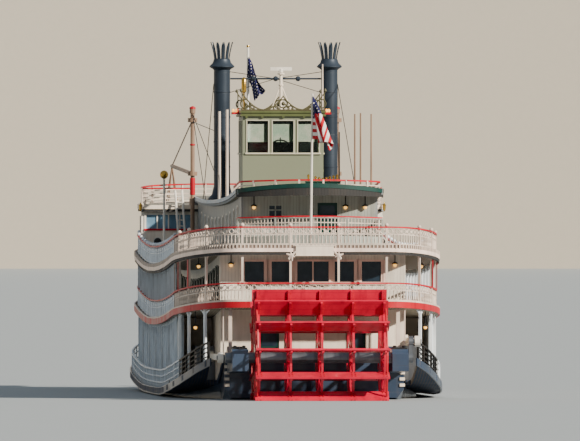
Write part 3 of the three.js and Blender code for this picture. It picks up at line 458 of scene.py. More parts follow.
# Grooves across the boat and along it, as axis, spacing and width in the model's metres
ACROSS, ALONG = (0, 0.018, 0.0012), (1, 0.018, 0.0012)
PLANKS = ((0, 0.016, 0.0014),)
# Dark navy for the hull, lightened and blued as a painted reflection of the sky and water
HULL_NAVY_AND_SKY_SHEEN = (44, 60, 82)
RED_COLOUR = (206, 20, 40)
LACE_COLOUR = (216, 200, 186)
ROOF_SIDE = (140, 146, 150)
CEILING_COLOUR = (168, 160, 144)
MATERIALS = {
    "white": paint("white_paint", (232, 226, 214), dirt=(120, 105, 90), dirty=0.3),
    "wall": paint("wall_boards", (228, 220, 205), grooves=(ACROSS, ALONG), dirt=(125, 112, 98),
                  groove_dark=0.62),
    # Grey plates tinted blue as painted shade of the sky on the shaded sides, with cool grey streaks to
    # match
    "shaded_grey_wall": paint("shaded_grey_wall_plates", (188, 200, 210), dirt=(78, 80, 84), dirty=0.45, gloss=0.12,
                       grooves=((1, 0.06, 0.0016), (0, 0.06, 0.0016)), groove_dark=0.5),
    "lace": paint("lace_white", LACE_COLOUR, dirt=(122, 92, 84), dirty=0.5, patch=9.0),
    # A cooler, bluer copy of the white paint for the sides: painted shade, with cool grey streaks to match
    "shaded_side_white": paint("shaded_side_white", (236, 244, 250), dirt=(118, 124, 130), dirty=0.3, patch=9.0),
    "fascia": paint("fascia_white", (248, 224, 208), dirt=(160, 126, 112), dirty=0.3, patch=9.0),
    # A darker band between the dentils: painted shade, like the gaps of the railing above
    "frieze": paint("frieze_painted_shade", (140, 122, 110), dirt=(90, 70, 62), dirty=0.4, patch=9.0),
    "blush": paint("window_posts", (238, 206, 192), dirt=(150, 112, 100), dirty=0.3),
    "sash": paint("pilothouse_sash", (192, 188, 166), dirt=(120, 114, 96)),
    "red": paint("red_paint", (192, 10, 36), dirt=(70, 12, 16), dirty=0.45, shade=0.7),
    "wheel": paint("wheel_boards", (206, 4, 54), rough=0.32, gloss=0.5, dirt=(96, 12, 22), dirty=0.45,
                   shade=0.66, grooves=((2, 0.031, 0.0014),), coat=0.3),
    "hull": paint("hull_plates", HULL_NAVY_AND_SKY_SHEEN, rough=0.34, gloss=0.5, dirt=(66, 62, 60), shade=0.7,
                  coat=0.25, grooves=((1, 0.24, 0.0016), (2, 0.075, 0.0012))),
    "main_deck": paint("main_deck_boards", (132, 112, 90), rough=0.7, dirt=(60, 50, 40), dirty=0.5,
                       grooves=PLANKS, side=HULL_NAVY_AND_SKY_SHEEN, under=HULL_NAVY_AND_SKY_SHEEN),
    "boiler_deck": paint("boiler_deck_boards", (140, 122, 100), rough=0.65, dirty=0.45,
                         grooves=PLANKS, side=RED_COLOUR, under=CEILING_COLOUR),
    "hurricane_deck": paint("hurricane_deck_boards", (150, 142, 128), rough=0.65, dirty=0.4,
                            grooves=PLANKS, side=LACE_COLOUR, under=CEILING_COLOUR),
    "roof": paint("roof_boards", (124, 122, 112), rough=0.75, dirty=0.45, grooves=((0, 0.05, 0.0014),),
                  side=ROOF_SIDE, under=CEILING_COLOUR),
    "teal": paint("teal_paint", (14, 60, 54), dirt=(22, 30, 30), dirty=0.4, shade=0.7),
    "sage": paint("sage_paint", (88, 96, 58), dirt=(66, 62, 44), dirty=0.4, shade=0.72),
    "pilot": paint("pilothouse_paint", (138, 144, 120), dirt=(112, 106, 88), groove_dark=0.7,
                   grooves=((0, 0.03, 0.001), (1, 0.03, 0.001))),
    "slate": paint("stack_plates", (46, 56, 68), rough=0.42, dirt=(30, 32, 36), dirty=0.4, metal=0.25,
                   grooves=((2, 0.12, 0.0014),)),
    "steel": paint("engine_steel", (120, 124, 130), rough=0.38, metal=0.85, dirt=(60, 50, 42), dirty=0.45),
    "brass": paint("brass", (214, 170, 78), rough=0.25, metal=1.0, dirt=(120, 90, 50), dirty=0.3),
    "wood": paint("stage_boards", (150, 116, 80), rough=0.6, dirt=(70, 52, 36), dirty=0.5,
                  grooves=((0, 0.014, 0.0012),)),
    "black": paint("dark_iron", (40, 41, 43), rough=0.5, dirt=(80, 66, 54), metal=0.5),
    "cream": paint("cream_paint", (240, 226, 208), dirt=(140, 115, 90)),
    # A darker, greyer copy of the wall boards for the after walls under the overhangs: painted shade
    "painted_shade_wall": paint("after_wall_painted_shade", (160, 164, 156), dirt=(84, 78, 70), dirty=0.45,
                        groove_dark=0.5, grooves=(ACROSS,)),
    # A darker, greyer copy of the wall boards for the texas's sides: painted shade, the same on both sides
    "shaded_side_wall": paint("texas_side_painted_shade", (146, 150, 150), dirt=(84, 80, 76), dirty=0.45,
                       groove_dark=0.5, grooves=(ALONG,), gloss=0.12),
    "shutter": paint("shutter_green", (34, 56, 48), rough=0.5, dirt=(30, 34, 30), dirty=0.4,
                     grooves=((2, 0.011, 0.0022),), groove_dark=0.35),
    "crest": paint("crest_paint", (84, 80, 54), dirt=(50, 46, 34), dirty=0.45, shade=0.7),
    # Near-black boards laid where shade falls under the overhangs and in hollows: painted shadow
    "painted_shadow": paint("painted_shadow_boards", (46, 46, 46), rough=0.7, grooves=(ACROSS,)),
    "spar": paint("spar_paint", (140, 114, 94), dirt=(96, 76, 60), dirty=0.45, patch=12.0),
    "glass": glass("window_glass", (26, 40, 52)),
    # Pale blue lounge glass: the pale blue is a painted reflection of the sky
    "sky_tinted_glass": glass("lounge_sky_tinted_glass", (96, 130, 154)),
    "clear": glass("pilothouse_glass", (214, 238, 230), rough=0.02, clear=1.0),
    "lamp": lamp_glow("lamp_glass", (255, 190, 90), 1.6),
    "inside": paint("pilothouse_inside", (36, 40, 40), rough=0.6),
}

# The CAD nodes that stay on show, by look
NODE_LOOKS = {
    "hull": "hull wheel_beam_port wheel_beam_starboard rudder_port rudder_starboard",
    "main_deck": "main_deck",
    "boiler_deck": "boiler_deck",
    "hurricane_deck": "hurricane_deck",
    "wheel": "paddle_wheel",
    "steel": "wheel_shaft engine_port engine_starboard",
    "black": "boiler",
    # The main house's sides take the blue-grey plates, whose tint is painted shade
    "shaded_grey_wall": "main_house_port main_house_starboard",
    "cream": "main_house_aft",
    "wall": "main_house_fore boiler_cabin_port boiler_cabin_starboard boiler_cabin_aft boiler_cabin_fore",
    # The after walls take the darker copy of the wall paint: painted shade
    "painted_shade_wall": "skylight_deck texas_house_aft",
    # The texas's sides take the darker grey copy of the wall paint: painted shade
    "shaded_side_wall": "texas_house_port texas_house_starboard",
    "white": "pitman_port pitman_starboard lounge_port lounge_starboard lounge_fore lounge_aft"
             " jackstaff verge_staff radar_scanner",
    "roof": "texas_roof",
    "pilot": "pilothouse",
    "sage": "pilothouse_door",
    "slate": "stack_spreader",
    "brass": "calliope",
    "spar": "stage_mast_port stage_mast_starboard landing_stage_port landing_stage_starboard",
    "wood": "bow_stairs",
}


def dress_nodes():
    for look, names in NODE_LOOKS.items():
        for name in names.split():
            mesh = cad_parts[name].data
            mesh.materials.clear()
            mesh.materials.append(MATERIALS[look])


# Railings


def baluster(shape, x, s, low, high):
    """A turned post of the railing, square enough to stay light."""
    waist, belly, tall = 0.022, 0.042, high - low
    profile = [(waist, low), (belly, low + tall * 0.3), (waist, low + tall * 0.62), (waist * 1.5, high)]
    shape.turned((x, s, 0), profile, 4)


def lace_bay(shape, deck, path):
    """Balusters, and a row of rings and small diamonds under the handrail."""
    for x, s, _, _ in spaced(path, RAIL["baluster"])[:-1]:
        z = floor(deck, s)
        baluster(shape, x, s, z + RAIL["bottom"], z + RAIL["lace"])
    half, thick = 0.06, 0.02
    for x, s, tx, ts in spaced(path, RAIL["baluster"] * 2)[:-1]:
        middle = floor(deck, s) + (RAIL["lace"] + RAIL["height"]) / 2 - 0.03
        shape.hoop((x, s, middle), 0.13, 0.024, 8, (tx, ts), 4)
        x, s = x + tx * RAIL["baluster"], s + ts * RAIL["baluster"]
        corners = [(-half, 0), (0, -half * 2), (half, 0), (0, half * 2)]
        shape.rings([
            [(x + tx * a + ts * n, s + ts * a - tx * n, middle + b) for a, b in corners]
            for n in (thick, -thick)
        ])


def bracket(shape, spot, z, reach, drop):
    """A curved bracket each way from a post under the deck above."""
    x, s, tx, ts = spot
    for way in (-1, 1):
        points = []
        for i in range(6):
            t = i / 5 * pi / 2
            run = way * (0.07 + reach * (1 - cos(t)))
            points.append((x + tx * run, s + ts * run, z - drop * (1 - sin(t))))
        shape.sweep(points, 0.05, 0.07)
        shape.ball((x + tx * way * 0.2, s + ts * way * 0.2, z - 0.14), 0.07, 6)


def lace_railing(deck, part, above=""):
    """A part of a deck's railing, with the posts and fringe under the deck above where it has one."""
    path = edge_path(deck, part, low=SPLIT)
    steps = spaced(path, RAIL["step"])
    lace = Shape()
    lace.sweep(lifted(steps, deck, RAIL["bottom"]), 0.09, 0.07)
    lace.sweep(lifted(steps, deck, RAIL["lace"] + 0.03), 0.06, 0.05)
    lace_bay(lace, deck, path)
    posts = spaced(path, RAIL["posts"])
    for spot in posts:
        x, s = spot[:2]
        foot = floor(deck, s)
        top = floor(above, s) - DECK if above else foot + RAIL["height"] + 0.02
        lace.post(spot, 0.06, (foot, top))
        if above:
            lace.post(spot, 0.09, (top - 0.12, top))
            bracket(lace, spot, top - 0.02, 0.4, 0.36)
        else:
            lace.ball((x, s, top + 0.09), 0.11, 8)
    if above:
        lace.sweep(lifted(steps, above, -DECK), 0.06, 0.1)
        for spot in spaced(path, 0.24):
            top = floor(above, spot[1]) - DECK - 0.08
            lace.post(spot, 0.06, (top - 0.12, top), (-0.015, 0.015))
    # The side railings take the cooler copy of the white paint: painted shade
    lace.make(f"{deck}_lace_{part}", "lace" if part == "aft" else "shaded_side_white",
              replaces=[f"{deck}_rail_{part}"])
    rail = Shape()
    rail.sweep(lifted(steps, deck, RAIL["height"] + 0.03), 0.15, 0.08)
    for spot in posts:
        s = spot[1]
        if above and 8.5 < s < 11.5:
            rail.post(spot, 0.1, (floor(deck, s) + RAIL["height"], floor(above, s) - DECK - 0.2),
                      (0.08, 0.1))
    rail.make(f"{deck}_handrail_{part}", "red")


def bar_railing(name, deck, path, heights, nodes=(), step=1.6, look="lace", top_look="red"):
    """Straight bars on posts, with the top bar in its own colour."""
    steps = spaced(path, RAIL["step"])
    bars, top = Shape(), Shape()
    for height in heights[:-1]:
        bars.sweep(lifted(steps, deck, height), 0.05, 0.06)
    for spot in spaced(path, step):
        z = floor(deck, spot[1])
        bars.post(spot, 0.05, (z, z + heights[-1]))
    bars.make(name, look, replaces=nodes)
    top.sweep(lifted(steps, deck, heights[-1] + 0.02), 0.1, 0.09)
    top.make(f"{name}_top", top_look)


def railings():
    for part in ("aft", "port", "starboard"):
        lace_railing("boiler", part, above="hurricane")
        lace_railing("hurricane", part)
    for side, sign in SIDES:
        guard = edge_path("main", side, low=GUARD["aft"], high=GUARD["fore"])
        # The guard rails take the cooler copy of the white paint: painted shade
        bar_railing(f"guard_rail_{side}", "main", guard, (0.35, 0.7, 1.05), [f"main_rail_{side}"],
                    look="shaded_side_white", top_look="shaded_side_white")
        corner = edge_path("main", side, low=GUARD["corner"], high=GUARD["aft"])
        bar_railing(f"corner_rail_{side}", "main", corner, (0.3, 0.55, 0.8, 1.05), step=0.8,
                    look="black", top_look="black")
        fore = [(sign * 4.25, 58.37)] + edge_path("lounge_roof", side, low=58.38)
        bar_railing(f"roof_railing_{side}", "lounge_roof", fore, (0.25, 0.5, 0.77, 1.05),
                    [f"roof_rail_{side}"], step=1.5)
    bar_railing("roof_railing_aft", "roof", arc_path(ROOF, 0.15, 14.95), (0.22, 0.45), ["roof_rail_aft"],
                step=1.3)


def skylight_railing():
    """The railing at the after end of the skylight deck, dressed over its CAD bars."""
    path = arc_path(SKYLIGHT, 0.05, 9.7)
    steps = spaced(path, RAIL["step"])
    lace, top = Shape(), Shape()
    for x, s, _, _ in spaced(path, 0.2):
        z = floor("skylight", s)
        baluster(lace, x, s, z, z + 0.97)
    lace.sweep(lifted(steps, "skylight", 0.75), 0.05, 0.05)
    lace.sweep(lifted(steps, "skylight", 0.16), 0.06, 0.05)
    lace.make("skylight_railing", "lace")
    top.sweep(lifted(steps, "skylight", 1.1), 0.14, 0.07)
    top.make("skylight_handrail", "red")


# Windows and doors

# Windows along the sides, as the CAD cuts them: deck, house, the s of each, width, sill and head
SIDE_WINDOWS = {
    "main_house": ("main", HOUSE, range(22, 55, 8), 2.2, 0.1, 2.6),
    "boiler_cabin": ("boiler", CABIN, range(9, 58, 3), 1.5, 0.5, 2.2),
    "texas_house": ("skylight", TEXAS, range(13, 54, 4), 1.0, 0.6, 1.9),
}
# Windows in the end walls: deck, s, the way they face, the x of each, width, sill, head, wall, the
# look of their casings, and what sets them apart from a window with one bar and a transom
END_WINDOWS = {
    "boiler_aft": ("boiler", CABIN["aft"], -1, (-3.25, -1.75, 1.75, 3.25), 1.35, 1.2, 2.35, 0.14,
                   "blush", {"bars": 0, "transom": 0, "stile": 0.14}),
    "boiler_middle": ("boiler", CABIN["aft"] - 0.1, -1, (0,), 1.8, 1.2, 2.35, 0.14,
                      "blush", {"transom": 0, "stile": 0.03}),
    "boiler_fore": ("boiler", CABIN["fore"], 1, (-3.25, -1.75, 0, 1.75, 3.25), 1.2, 0.05, 2.2, 0.14,
                    "white", {}),
    "main_fore": ("main", HOUSE["fore"], 1, (-4.6, -2.3, 2.3, 4.6), 1.1, 0.9, 2.3, 0.15, "white", {}),
    # The texas's after window casings take the darker wall paint: painted shade
    "texas_aft": ("skylight", TEXAS["aft"], -1, (-1.9,), 0.7, 0.9, 1.8, 0.12, "painted_shade_wall", {}),
    "lounge_aft": ("hurricane", LOUNGE["aft"], -1, (-5.52, 5.52), 2.66, 0.5, 2.3, 0.14,
                   "white", {"bars": 3, "transom": 0}),
    "lounge_fore": ("hurricane", PLANS["lounge"][4], 1, (-2, 0, 2), 1.5, 0.5, 2.05, 0.14, "white", {}),
}


def window(frames, panes, face, width, sill, head, wall, bars=1, transom=0.72, trim=0.1, stile=0.0):
    """A cased window in a wall: face is a point on its outer face at the deck, along and out."""
    half, inside, proud = width / 2, (-wall * 0.6, 0.0), 0.045
    edge, low, high = half + trim, sill - trim, head + trim
    for u, reach, z in (
        ((-edge, -half + 0.01), proud, (low, high)),
        ((half - 0.01, edge), proud, (low, high)),
        ((-half, half), proud, (head - 0.01, high)),
        ((-edge - 0.06, edge + 0.06), proud + 0.05, (low - 0.03, sill + 0.01)),
    ):
        frames.block(*face, u, (-wall * 0.4, reach), z)
    for i in range(bars):
        u = -half + width * (i + 1) / (bars + 1)
        frames.block(*face, (u - 0.035, u + 0.035), inside, (sill, head))
    if stile:
        for u in ((-half, -half + stile), (half - stile, half)):
            frames.block(*face, u, inside, (sill, head))
    if transom:
        z = sill + (head - sill) * transom
        frames.block(*face, (-half, half), inside, (z - 0.03, z + 0.03))
    panes.block(*face, (-half, half), (-wall * 0.62, -wall * 0.5), (sill, head))


def lounge_windows():
    """The windows in the lounge's rounded sides, each set square to the curve of its wall."""
    _, _, _, half, fore, flat, run = PLANS["lounge"]
    for side, sign in SIDES:
        frames, panes = Shape(), Shape()
        for s in (59.9, 61.7, 63.5):
            share = max(0.0, (s - fore + run) / run)
            bulge = sqrt(1 - share ** 2)
            x = flat + (half - flat) * bulge
            slope = -(half - flat) * share / run / bulge
            length = hypot(slope, 1)
            along, out = (sign * slope / length, 1 / length), (sign / length, -slope / length)
            window(frames, panes, ((sign * x, s, floor("hurricane", s)), along, out), 1.25 * length,
                   0.5, 2.05, LOUNGE["wall"])
        frames.make(f"lounge_casings_{side}", "white")
        panes.make(f"lounge_sky_tinted_glass_{side}", "sky_tinted_glass")


def lounge_sills():
    """A cream panel in the lower part of each after window of the lounge, under a red sill."""
    _, s, _, xs, width, low = END_WINDOWS["lounge_aft"][:6]
    sill, half, back = 1.36, width / 2, -0.06
    for (side, _), x in zip(SIDES, xs):
        origin = (x, s, floor("hurricane", s))
        for name, look, u, proud, z in (
            ("panel", "cream", half, 0.02, (low, sill)),
            ("sill", "red", half + 0.12, 0.08, (sill, sill + 0.11)),
        ):
            piece = Shape()
            piece.block(origin, (1, 0), (0, -1), (-u, u), (back, proud), z)
            piece.make(f"lounge_{name}_{side}", look)


def windows():
    lounge_windows()
    for name, (deck, house, spots, width, sill, head) in SIDE_WINDOWS.items():
        for side, sign in SIDES:
            frames, panes = Shape(), Shape()
            for s in spots:
                face = ((sign * house["half"], s, floor(deck, s)), (0, 1), (sign, 0))
                window(frames, panes, face, width, sill, head, house["wall"])
            frames.make(f"{name}_casings_{side}", "shutter" if name == "boiler_cabin" else "white")
            panes.make(f"{name}_glass_{side}", "glass")
    for name, (deck, s, way, xs, width, sill, head, wall, casing, extras) in END_WINDOWS.items():
        frames, panes = Shape(), Shape()
        for x in xs:
            face = ((x, s, floor(deck, s)), (1, 0), (0, way))
            window(frames, panes, face, width, sill, head, wall, **extras)
        if name == "lounge_aft":
            lounge_sills()
        frames.make(f"{name}_casings", casing)
        panes.make(f"{name}_glass", "sky_tinted_glass" if name.startswith("lounge") else "glass")


def shutters():
    """Louvred shutters on both sides of each window along the boiler deck's cabin."""
    deck, house, spots, width, sill, head = SIDE_WINDOWS["boiler_cabin"]
    low, high = sill - 0.05, head + 0.05
    for side, sign in SIDES:
        leaves = Shape()
        for s in spots:
            face = ((sign * house["half"], s, floor(deck, s)), (0, 1), (sign, 0))
            for way in (-1, 1):
                span = sorted((way * (width / 2 + 0.13), way * (spots.step / 2 - 0.06)))
                leaves.block(*face, span, (0, 0.05), (low, high))
                for z in (low, (sill + head) / 2 - 0.05, high - 0.1):
                    leaves.block(*face, span, (0.05, 0.07), (z, z + 0.1))
        leaves.make(f"cabin_shutters_{side}", "shutter")


def pilothouse_windows():
    """The pilothouse's windows, and the desk, seats and steering wheel behind them."""
    frames, panes, inside = Shape(), Shape(), Shape()
    middle, across = (PILOT["aft"] + PILOT["fore"]) / 2, (-1.46, 0, 1.46)
    walls = [((0, PILOT["aft"]), (1, 0), (0, -1), across, 1.22),
             ((0, PILOT["fore"]), (1, 0), (0, 1), across, 1.22)]
    for _, sign in SIDES:
        walls.append(((sign * PILOT["half"], middle), (0, 1), (sign, 0), (-1.15, 0, 1.15), 0.9))
    for (x, s), along, out, spots, width in walls:
        for spot in spots:
            face = ((x + along[0] * spot, s + along[1] * spot, 0), along, out)
            window(frames, panes, face, width, PILOT["sill"], PILOT["head"], PILOT["wall"],
                   bars=0, transom=0, trim=0.05)
    frames.make("pilothouse_sashes", "sash")
    panes.make("pilothouse_panes", "clear")
    base = floor("roof", 38)
    inside.box((-2.15, 2.15), (39.6, 40.3), (base, 14.5))
    inside.box((-2.15, 2.15), (36.14, 36.2), (15.5, 15.74))
    inside.box((-2.2, -1.5), (36.4, 38.6), (base, 14.1))
    inside.box((0.9, 1.5), (36.6, 37.4), (base, 14.5))
    hub, spoke, hoop = (0, 38.95, 13.9), 0.85, 0.7
    inside.rod((0, 38.9, hub[2]), (0, 39.3, hub[2]), 0.12, 8)
    for t in angles(8):
        inside.rod(hub, (sin(t) * spoke, hub[1], hub[2] + cos(t) * spoke), 0.035, 5)
    inside.cable([(sin(t) * hoop, hub[1], hub[2] + cos(t) * hoop) for t in angles(24, 1)], 0.045)
    inside.make("pilothouse_desk", "inside")


def doors():
    """Panelled doors in the doorways of the end walls and the texas."""
    leaves, panes = Shape(), Shape()
    for deck, s, way, xs, width, low, high in (
        ("main", HOUSE["inner_aft"], -1, (-2.4, 2.4), 1.1, 0.1, 2.1),
        ("main", HOUSE["fore"], 1, (-0.45, 0.45), 0.9, 0.05, 2.4),
        ("skylight", TEXAS["aft"], -1, (1.0,), 1.1, 0.05, 1.95),
    ):
        for x in xs:
            z, half, inner = floor(deck, s), width / 2, (-width / 2 + 0.14, width / 2 - 0.14)
            face, knob = ((x, s, z), (1, 0), (0, way)), x + half - 0.1
            leaves.block(*face, (-half, half), (-0.11, -0.06), (low, high))
            leaves.block(*face, inner, (-0.07, -0.045), (low + 0.1, low + 0.75))
            panes.block(*face, inner, (-0.07, -0.05), (low + 0.95, high - 0.14))
            leaves.rod((knob, s - way * 0.06, z + 1.0), (knob, s, z + 1.0), 0.03, 6)
    leaves.make("door_leaves", "teal")
    panes.make("door_glass", "glass")


# Edges of the decks


def fascia(name, deck, look, low, high, proud=0.035):
    """A smooth trim round a deck's edge, from one height to another above its floor."""
    trim = Shape()
    trim.sweep(lifted(spaced(whole_edge(deck, proud), TRIM_STEP), deck, high), 0.08, high - low)
    trim.make(name, look)


def dentils():
    """Short blocks that carry the hurricane railing's pattern down over the deck's edge."""
    blocks = Shape()
    for spot in spaced(whole_edge("hurricane", 0.05), RAIL["baluster"]):
        z = floor("hurricane", spot[1])
        blocks.post(spot, 0.035, (z - 0.13, z + 0.07), (-0.03, 0.03))
    blocks.make("hurricane_dentils", "lace")


def roof_trim():
    """The roof's crowned after edge, a dark strip under it that is painted shadow of the overhang, and the
    plain trim along its sides.
    """
    edge, painted_shadow, sides = Shape(), Shape(), Shape()
    crowned = []
    for x, s, z in lifted(spaced(arc_path(ROOF, -0.03, 9.6), 0.4), "roof", 0.03):
        crown = 1 - (x / ROOF["half"]) ** 2 if s < ROOF["aft"] + STERN_ARC else 0
        crowned.append((x, s, z + 0.2 * max(0.0, crown)))
    edge.sweep(crowned, 0.08, 0.24)
    edge.make("roof_fascia", "teal")
    # A near-black strip under the roof's edge: painted shadow of the overhang
    painted_shadow.sweep(lifted(spaced(arc_path(ROOF, -0.02, 9.5), 0.4), "roof", 0.0), 0.05, 0.44)
    painted_shadow.make("roof_painted_shadow", "painted_shadow", slot="roof_paint")
    for _, sign in SIDES:
        x = sign * (ROOF["half"] + 0.03)
        sides.sweep(lifted(spaced([(x, 9.6), (x, 58.1)], TRIM_STEP), "roof", 0.04), 0.08, 0.2)
    # The side trim takes the blue-grey plates' paint, with its painted shade
    sides.make("roof_side_trim", "shaded_grey_wall", slot="roof_paint")


def deck_trim():
    fascia("boiler_fascia", "boiler", "red", -DECK - 0.02, 0.02)
    fascia("boiler_bead", "boiler", "lace", 0.02, 0.1)
    fascia("hurricane_fascia", "hurricane", "fascia", -EAVES, -0.13)
    # The darker frieze behind the dentils is painted shade
    fascia("hurricane_frieze", "hurricane", "frieze", -0.13, 0.04, proud=0.0)
    # A dark band under the hurricane deck's edge: painted shadow
    fascia("hurricane_shadow_band", "hurricane", "painted_shadow", -DECK - 0.2, -EAVES, proud=0.0)
    dentils()
    fascia("lounge_fascia", "lounge_roof", "cream", -0.19, 0.05)
    # A dark band under the lounge roof's edge: painted shadow
    fascia("lounge_shadow_band", "lounge_roof", "painted_shadow", -EAVES, -0.19, proud=0.0)
    roof_trim()
    rub = Shape()
    # It leaves the deck's slots for the pitmans open
    for path in (edge_path("main", "port", inset=0.05, low=5.45), [(-4.95, 4.7), (4.95, 4.7)],
                 edge_path("main", "starboard", inset=0.05, low=5.45)):
        rub.sweep(lifted(spaced(path, TRIM_STEP), "main", 0.04), 0.08, DECK + 0.12)
    rub.make("guard_timber", "hull")


def guard_posts():
    """The posts along the guards that carry the boiler deck, and the braces at their heads."""
    posts = Shape()
    for side, _ in SIDES:
        path = edge_path("boiler", side, inset=0.22, low=6.4, high=64)
        for spot in spaced(path, RAIL["posts"]):
            top = floor("boiler", spot[1]) - DECK
            posts.post(spot, 0.07, (floor("main", spot[1]), top))
            bracket(posts, spot, top - 0.02, 0.45, 0.5)
    # The guard posts take the cooler copy of the white paint: painted shade
    posts.make("guard_posts", "shaded_side_white")


def stern_fittings():
    """White posts and fender ladders each side of the paddle wheel."""
    posts, ladders = Shape(), Shape()
    low, top = floor("main", 4.9), floor("boiler", 5) - DECK
    for _, sign in SIDES:
        posts.box((sign * 4.55, sign * 4.75), (4.9, 5.1), (low, top))
        posts.box((sign * 5.0, sign * 5.06), (4.95, 5.05), (low, top))
        for step in range(4):
            rung = 1.9 - step * 0.34
            ladders.box((sign * 4.72, sign * 5.0), (4.52, 4.6), (rung - 0.16, rung))
    posts.make("stern_posts", "lace")
    ladders.make("stern_ladders", "cream")


# Paddle wheel and shaft


def wheel_point(angle, radius, x, depth=0.0):
    """A point on the wheel: depth is across an arm, on the side of its bucket board."""
    t = radians(angle)
    return (x, depth * cos(t) - radius * sin(t),
            WHEEL["z"] + depth * sin(t) + radius * cos(t))


def wheel_irons():
    """Battens along the bucket boards, and the wheel's iron rings, braces and bolts."""
    wood, iron = Shape(), Shape()
    hub, rings, braced, bolts, edges = 0.75, (1.9, 3.3), 2.9, (3.0, 3.3, 3.6), (2.93, 3.77)
    pitch = 360 / WHEEL["arms"]
    arms = [WHEEL["start"] + pitch * i for i in range(WHEEL["arms"])]
    for x in (FLANGES[0] - 0.1, FLANGES[-1] + 0.1):
        for radius in rings:
            iron.cable([wheel_point(a, radius, x) for a in range(0, 361, 8)], 0.05, 4)
        for angle in arms:
            iron.rod(wheel_point(angle, hub, x), wheel_point(angle + pitch, braced, x), 0.035, 4)
    for angle in arms:
        for x in FLANGES:
            for radius in bolts:
                for side in (x - 0.09, x + 0.09):
                    iron.rod(wheel_point(angle, radius, side, 0.02),
                             wheel_point(angle, radius, side, 0.17), 0.035, 6)
        for radius in edges:
            wood.rod(wheel_point(angle, radius, -WHEEL["side"], 0.1),
                     wheel_point(angle, radius, WHEEL["side"], 0.1), 0.05, 4)
    wood.make("wheel_battens", "wheel", body="wheel")
    iron.make("wheel_irons", "red", body="wheel")


def shaft_details():
    """Caps with bolts on the bearings of the paddle shaft."""
    caps = Shape()
    for _, sign in SIDES:
        caps.box((sign * 4.0, sign * 4.8), (-0.6, 0.6), (2.82, 2.9))
        for s in (-0.5, 0.5):
            for x in (4.15, 4.65):
                caps.turned((sign * x, s, 2.9), [(0.07, 0), (0.07, 0.1), (0.02, 0.12)], 6)
    caps.make("bearing_caps", "black")


# Stacks


def feather(shape, x, angle):
    """One feather of a stack's crown: a thin leaf that bends outward to a point."""
    ca, sa = cos(angle), sin(angle)
    base, reach = STACK["radius"] - 0.05, STACK["radius"] + 0.17
    low, tip = STACK["collar"] + 0.42, STACK["crown"] - 0.02
    rings = []
    for i in range(9):
        t = i / 8
        radius = base + (reach - base) * (0.55 * t + 0.45 * t ** 2)
        half = 0.08 * min(1.0, (1 - t) / 0.3) ** 0.7 + 0.01
        rings.append([
            (x + ca * (radius + out) - sa * across, STACK["s"] + sa * (radius + out) + ca * across,
             low + (tip - low) * t)
            for across, out in ((-half, 0.0), (0, 0.028), (half, 0.0), (0, -0.028))
        ])
    shape.rings(rings)


def stacks():
    r, collar, s = STACK["radius"], STACK["collar"], STACK["s"]
    foot = floor("roof", s)
    for side, sign in SIDES:
        x, pipe = sign * STACK["x"], Shape()
        profile = [(r + 0.35, foot), (r + 0.35, foot + 0.12), (r + 0.12, foot + 0.35), (r, foot + 0.85)]
        z = foot + 1.9
        while z < collar - 0.6:
            profile += [(r, z), (r + 0.018, z + 0.01), (r + 0.018, z + 0.1), (r, z + 0.11)]
            z += 1.45
        profile += [(r + out, collar + up) for out, up in (
            (0, -0.2), (0.06, -0.14), (0.25, -0.03), (0.25, 0.03), (0.06, 0.22), (0, 0.42), (-0.06, 0.46),
            (-0.1, 0.4), (-0.1, -0.3),
        )] + [(0.01, collar - 0.3)]
        pipe.turned((x, s, 0), profile, 28)
        for i in range(STACK["feathers"]):
            feather(pipe, x, (i + 0.5) / STACK["feathers"] * 2 * pi)
        pipe.make(f"stack_pipe_{side}", "slate", replaces=[f"stack_{side}"])
    guys = Shape()
    for _, sign in SIDES:
        for z in (17.4, 18.6):
            guys.rod((sign * (STACK["x"] - r), s, z), (0, s, 18.2), 0.02, 5)
        for foot in (50, 30):
            guys.rod((sign * (STACK["x"] + r), s, 17.9),
                     (sign * 3.9, foot, floor("roof", foot) + 0.02), 0.022, 5)
    guys.make("stack_guys", "black")


# Pilothouse roof


def crest_height(x):
    """The crest's upper edge above the lid: ends and a centre peak with a swoop between them."""
    edge, dip = PILOT["half"] + 0.1, CREST["dip_x"]
    u = abs(x)
    if u < dip:
        return CREST["dip"] + (CREST["peak"] - CREST["dip"]) * (1 - u / dip) ** 2
    return CREST["dip"] + (CREST["end"] - CREST["dip"]) * ((u - dip) / (edge - dip)) ** 1.8


def crest(shape, s):
    """A pierced crest: a bold curved edge over scrolls, rings and thin struts."""
    top, edge, count = PILOT["top"] + 0.3, PILOT["half"] + 0.1, 44
    rings = []
    for x in (-edge + 2 * edge * i / count for i in range(count + 1)):
        z = top + crest_height(x) - 0.05
        rings.append([(x, s - 0.06, z - 0.1), (x, s - 0.06, z), (x, s + 0.06, z), (x, s + 0.06, z - 0.1)])
    shape.rings(rings)
    shape.box((-edge, edge), (s - 0.05, s + 0.05), (top - 0.02, top + 0.1))
    for x, z, radius in ((0, 0.42, 0.24), (-0.42, 0.16, 0.14), (0.42, 0.16, 0.14), (-2.2, 0.42, 0.26),
                         (2.2, 0.42, 0.26), (-1.8, 0.18, 0.13), (1.8, 0.18, 0.13)):
        shape.hoop((x, s, top + z), radius, 0.042, 18)
    for x in (-2.36, -1.9, -1.45, 1.45, 1.9, 2.36):
        shape.rod((x, s, top), (x, s, top + crest_height(x) - 0.1), 0.035, 4)
    shape.ball((0, s, top + 0.42), 0.11, 8)
    for _, sign in SIDES:
        shape.turned((sign * edge, s, top + CREST["end"] - 0.1), [(0.05, 0), (0.1, 0.06), (0.03, 0.2)], 8)


